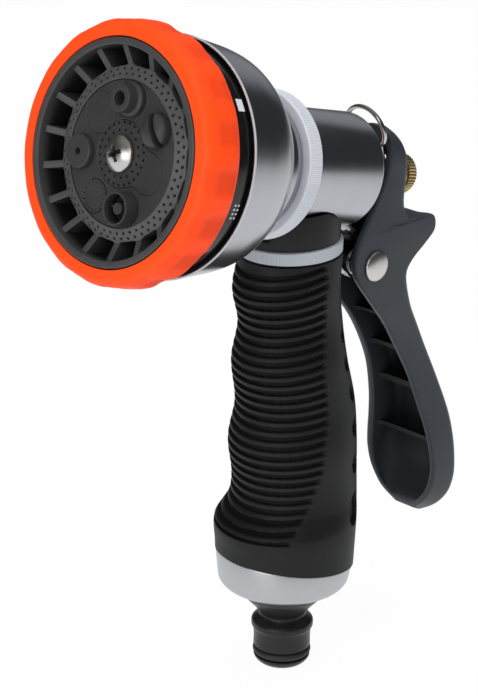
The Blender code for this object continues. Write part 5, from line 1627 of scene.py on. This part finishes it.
    def slot(self) -> Surface:
        """Make the cutter of the stem's slot through the arm, with a round top and foot.

        Returns:
            The cutter, in the pivot's frame.
        """
        half, (low, high) = self.slot_half, self.slot_span
        turn = np.linspace(0.0, math.pi, 13)
        outline = np.concatenate([
            np.column_stack([half * np.cos(turn), high + half * np.sin(turn)]),
            np.column_stack([-half * np.cos(turn), low - half * np.sin(turn)])])
        return slab(outline, -14.0, 1.5)

    def clip(self) -> None:
        """Hold-open wire: feet in the cheeks, legs and a round arch, as one tube along a smooth path."""
        rise = self.clip_height - self.clip_arch
        leg = [(7.4, 0.0), (6.2, 0.0), (5.55, 0.2), (self.clip_leg, 0.95), (self.clip_leg, 4.0),
               (self.clip_leg + 0.1, 7.6), (self.clip_arch - 0.45, rise - 1.9)]
        arch = [(self.clip_arch * math.cos(a), rise + self.clip_arch * math.sin(a))
                for a in np.radians(np.linspace(0.0, 90.0, 7))]
        side = leg + arch
        corners = side + [(-x, t) for x, t in reversed(side[:-1])]
        flat = catmull(corners, np.linspace(0.0, len(corners) - 1.0, 220))
        path = np.column_stack([flat[:, 0], flat[:, 1] * math.cos(self.clip_lean),
                                flat[:, 1] * math.sin(self.clip_lean)])
        wire = piped(path, self.wire_r, 20)
        self.shop.piece("bail_wire", wire, WIRE, "clip", HINGE, ["lock_clip"], 60.0)


# ================================================================ carried-over nodes
INNER_FINISHES: dict[str, Finish] = {
    "inlet_washer": SEAL, "inlet_filter": ACETAL, "valve_seat": ACETAL, "valve_plug": SEAL,
    "valve_spring": WIRE, "gland_o_ring": SEAL, "stator": ACETAL, "port_seal": SEAL, "seal_spring": WIRE,
    "detent_ball": RIVET, "detent_spring": WIRE, "port_plate": ACETAL}


def dress_inner_nodes(shop: Workshop) -> None:
    """Give each carried-over inner node its finish, through its own material slots."""
    for name, finish in INNER_FINISHES.items():
        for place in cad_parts[name].material_slots:
            place.material = shop.material(finish)
        LOG.info("%s: kept, finished as %s", name, finish.name)


# ================================================================ studio
@dataclass
class Studio:
    """Plain pale floor, soft light and the camera of the photograph."""

    shop: Workshop
    azimuth: float = math.radians(44.95)
    elevation: float = math.radians(21.02)
    roll: float = math.radians(0.88)
    focal_pixels: float = 2545.92
    width_pixels: int = 478
    distance: float = 679.41
    target: tuple[float, float, float] = (0.66, -19.70, 99.27)
    floor_reach: float = 6.0
    floor_height: float = -0.0006

    def build(self) -> None:
        """Make the camera, the world, the floor and the lamps."""
        scene = bpy.context.scene
        scene.view_settings.view_transform = "Standard"
        scene.camera = self.camera()
        scene.world = self.world()
        self.floor()
        self.lamps()

    def camera(self) -> bpy.types.Object:
        """Return the camera.

        With azimuth a and elevation e its back axis, from the target to the camera, is
        (sin a cos e, -cos a cos e, sin e); the camera is rolled about that axis.

        Returns:
            The camera.
        """
        a, e, r = self.azimuth, self.elevation, self.roll
        back = np.array([math.sin(a) * math.cos(e), -math.cos(a) * math.cos(e), math.sin(e)])
        level = np.array([math.cos(a), math.sin(a), 0.0])
        upright = np.cross(back, level)
        right = math.cos(r) * level + math.sin(r) * upright
        up = -math.sin(r) * level + math.cos(r) * upright
        place = (np.asarray(self.target) + back * self.distance) * MM
        data = bpy.data.cameras.new("view")
        data.sensor_fit = "HORIZONTAL"
        data.sensor_width = 36.0
        data.lens = self.focal_pixels * data.sensor_width / self.width_pixels
        data.clip_start, data.clip_end = 0.02, 30.0
        made = bpy.data.objects.new("view", data)
        bpy.context.scene.collection.objects.link(made)
        rotation = np.column_stack([right, up, back])
        made.matrix_world = Matrix.Translation(Vector(place)) @ Matrix(rotation.tolist()).to_4x4()
        return made

    def world(self) -> bpy.types.World:
        """Return the world.

        It is white to the camera and a soft grey to diffuse light.  Gloss sees a dark surround with a
        warm paler top, and behind the nozzle a soft patch of cool light.

        Returns:
            The world.
        """
        made = bpy.data.worlds.new("studio")
        sheet = Sheet(made)
        direction = sheet.node("ShaderNodeTexCoord").outputs["Generated"]
        height = Signal(sheet, sheet.node("ShaderNodeSeparateXYZ", None, {0: direction}).outputs["Z"])
        rays = sheet.node("ShaderNodeLightPath").outputs
        toward = sheet.node("ShaderNodeVectorMath", {"operation": "DOT_PRODUCT"},
                            {0: direction, 1: (-0.45, 0.83, 0.33)}).outputs["Value"]
        band = Signal(sheet, toward).ramp(0.91, 0.99)
        base = sheet.blend(height.ramp(0.45, 1.0), (0.04, 0.042, 0.047), (0.3, 0.285, 0.26))
        gloss = sheet.blend(band, base, (0.33, 0.34, 0.37))
        soft = sheet.blend(height.ramp(-0.2, 0.9), (0.3, 0.3, 0.31), (0.5, 0.5, 0.5))
        seen = sheet.blend(rays["Is Glossy Ray"], soft, gloss)
        final = sheet.blend(rays["Is Camera Ray"], seen, (1.0, 1.0, 1.0))
        light = sheet.node("ShaderNodeBackground", None, {"Color": final, "Strength": 1.0})
        sheet.node("ShaderNodeOutputWorld", None, {"Surface": light.outputs[0]})
        return made

    def floor(self) -> None:
        """Pale floor: a disc that shows white to the camera and keeps a faint shadow.

        In gloss it is pale near the nozzle and fades to dark with the distance, as a smooth step.
        """
        rows = np.array([0.001, 0.2, 1.0, self.floor_reach]) / MM
        angle = circle(48)
        grid = np.stack([rows[:, None] * np.cos(angle), rows[:, None] * np.sin(angle),
                         np.full((4, 48), self.floor_height / MM)], axis=-1)
        made = bpy.data.objects.new("floor", self.shop.mesh("floor", weave(grid, caps=False), GRIP, CREASE))
        material = bpy.data.materials.new("pale_floor")
        sheet = Sheet(material)
        fleck = sheet.noise(sheet.place(GRIP), 40.0, 2.0)
        diffuse = sheet.node("ShaderNodeBsdfDiffuse", None,
                             {"Color": sheet.blend(fleck, (0.8, 0.8, 0.8), (0.83, 0.83, 0.83))})
        rays = sheet.node("ShaderNodeLightPath").outputs
        seen = Signal(sheet, rays["Is Camera Ray"])
        reach = sheet.node("ShaderNodeVectorMath", {"operation": "LENGTH"}, {0: sheet.place(GRIP)})
        away = Signal(sheet, reach.outputs["Value"]).ramp(0.1, 1.6)
        in_gloss = sheet.blend(away, (0.92, 0.93, 0.96), (0.07, 0.073, 0.08))
        colour = sheet.blend(seen, in_gloss, (1.0, 1.0, 1.0))
        glow = sheet.node("ShaderNodeEmission", None, {"Color": colour, "Strength": 1.0})
        share = seen * 0.96 + Signal(sheet, rays["Is Glossy Ray"]) * 0.95
        mixed = sheet.node("ShaderNodeMixShader", None, {0: share, 1: diffuse.outputs[0], 2: glow.outputs[0]})
        sheet.node("ShaderNodeOutputMaterial", None, {"Surface": mixed.outputs[0]})
        made.data.materials.append(material)
        bpy.context.scene.collection.objects.link(made)

    def lamps(self) -> None:
        """Soft square lamps as (name, place, size, power, shows in gloss)."""
        for name, place, size, power, in_gloss in (
                ("key", (0.35, -1.4, 1.5), 1.2, 17.0, False),
                ("front", (0.3, -1.3, 0.28), 0.8, 5.0, True),
                ("side", (1.6, -0.3, 0.8), 1.0, 6.0, False),
                ("top", (0.1, 0.35, 1.6), 0.9, 10.0, False),
                ("spark", (0.9, -1.1, 0.9), 0.55, 1.6, True)):
            data = bpy.data.lights.new(name, "AREA")
            data.shape, data.size, data.energy = "SQUARE", size, power
            made = bpy.data.objects.new(name, data)
            bpy.context.scene.collection.objects.link(made)
            aim = Vector((0.0, 0.0, 0.1)) - Vector(place)
            turn = aim.to_track_quat("-Z", "Y").to_matrix().to_4x4()
            made.matrix_world = Matrix.Translation(Vector(place)) @ turn
            made.visible_glossy = in_gloss


def main() -> None:
    """Build the nozzle's pieces in order, then the studio."""
    logging.basicConfig(level=logging.INFO, format="%(name)s: %(message)s")
    shop = Workshop()
    for part in (Housing(shop), Grip(shop), Dial(shop), Works(shop), Trigger(shop)):
        part.build()
    dress_inner_nodes(shop)
    Studio(shop).build()


if __name__ == "__main__":
    main()
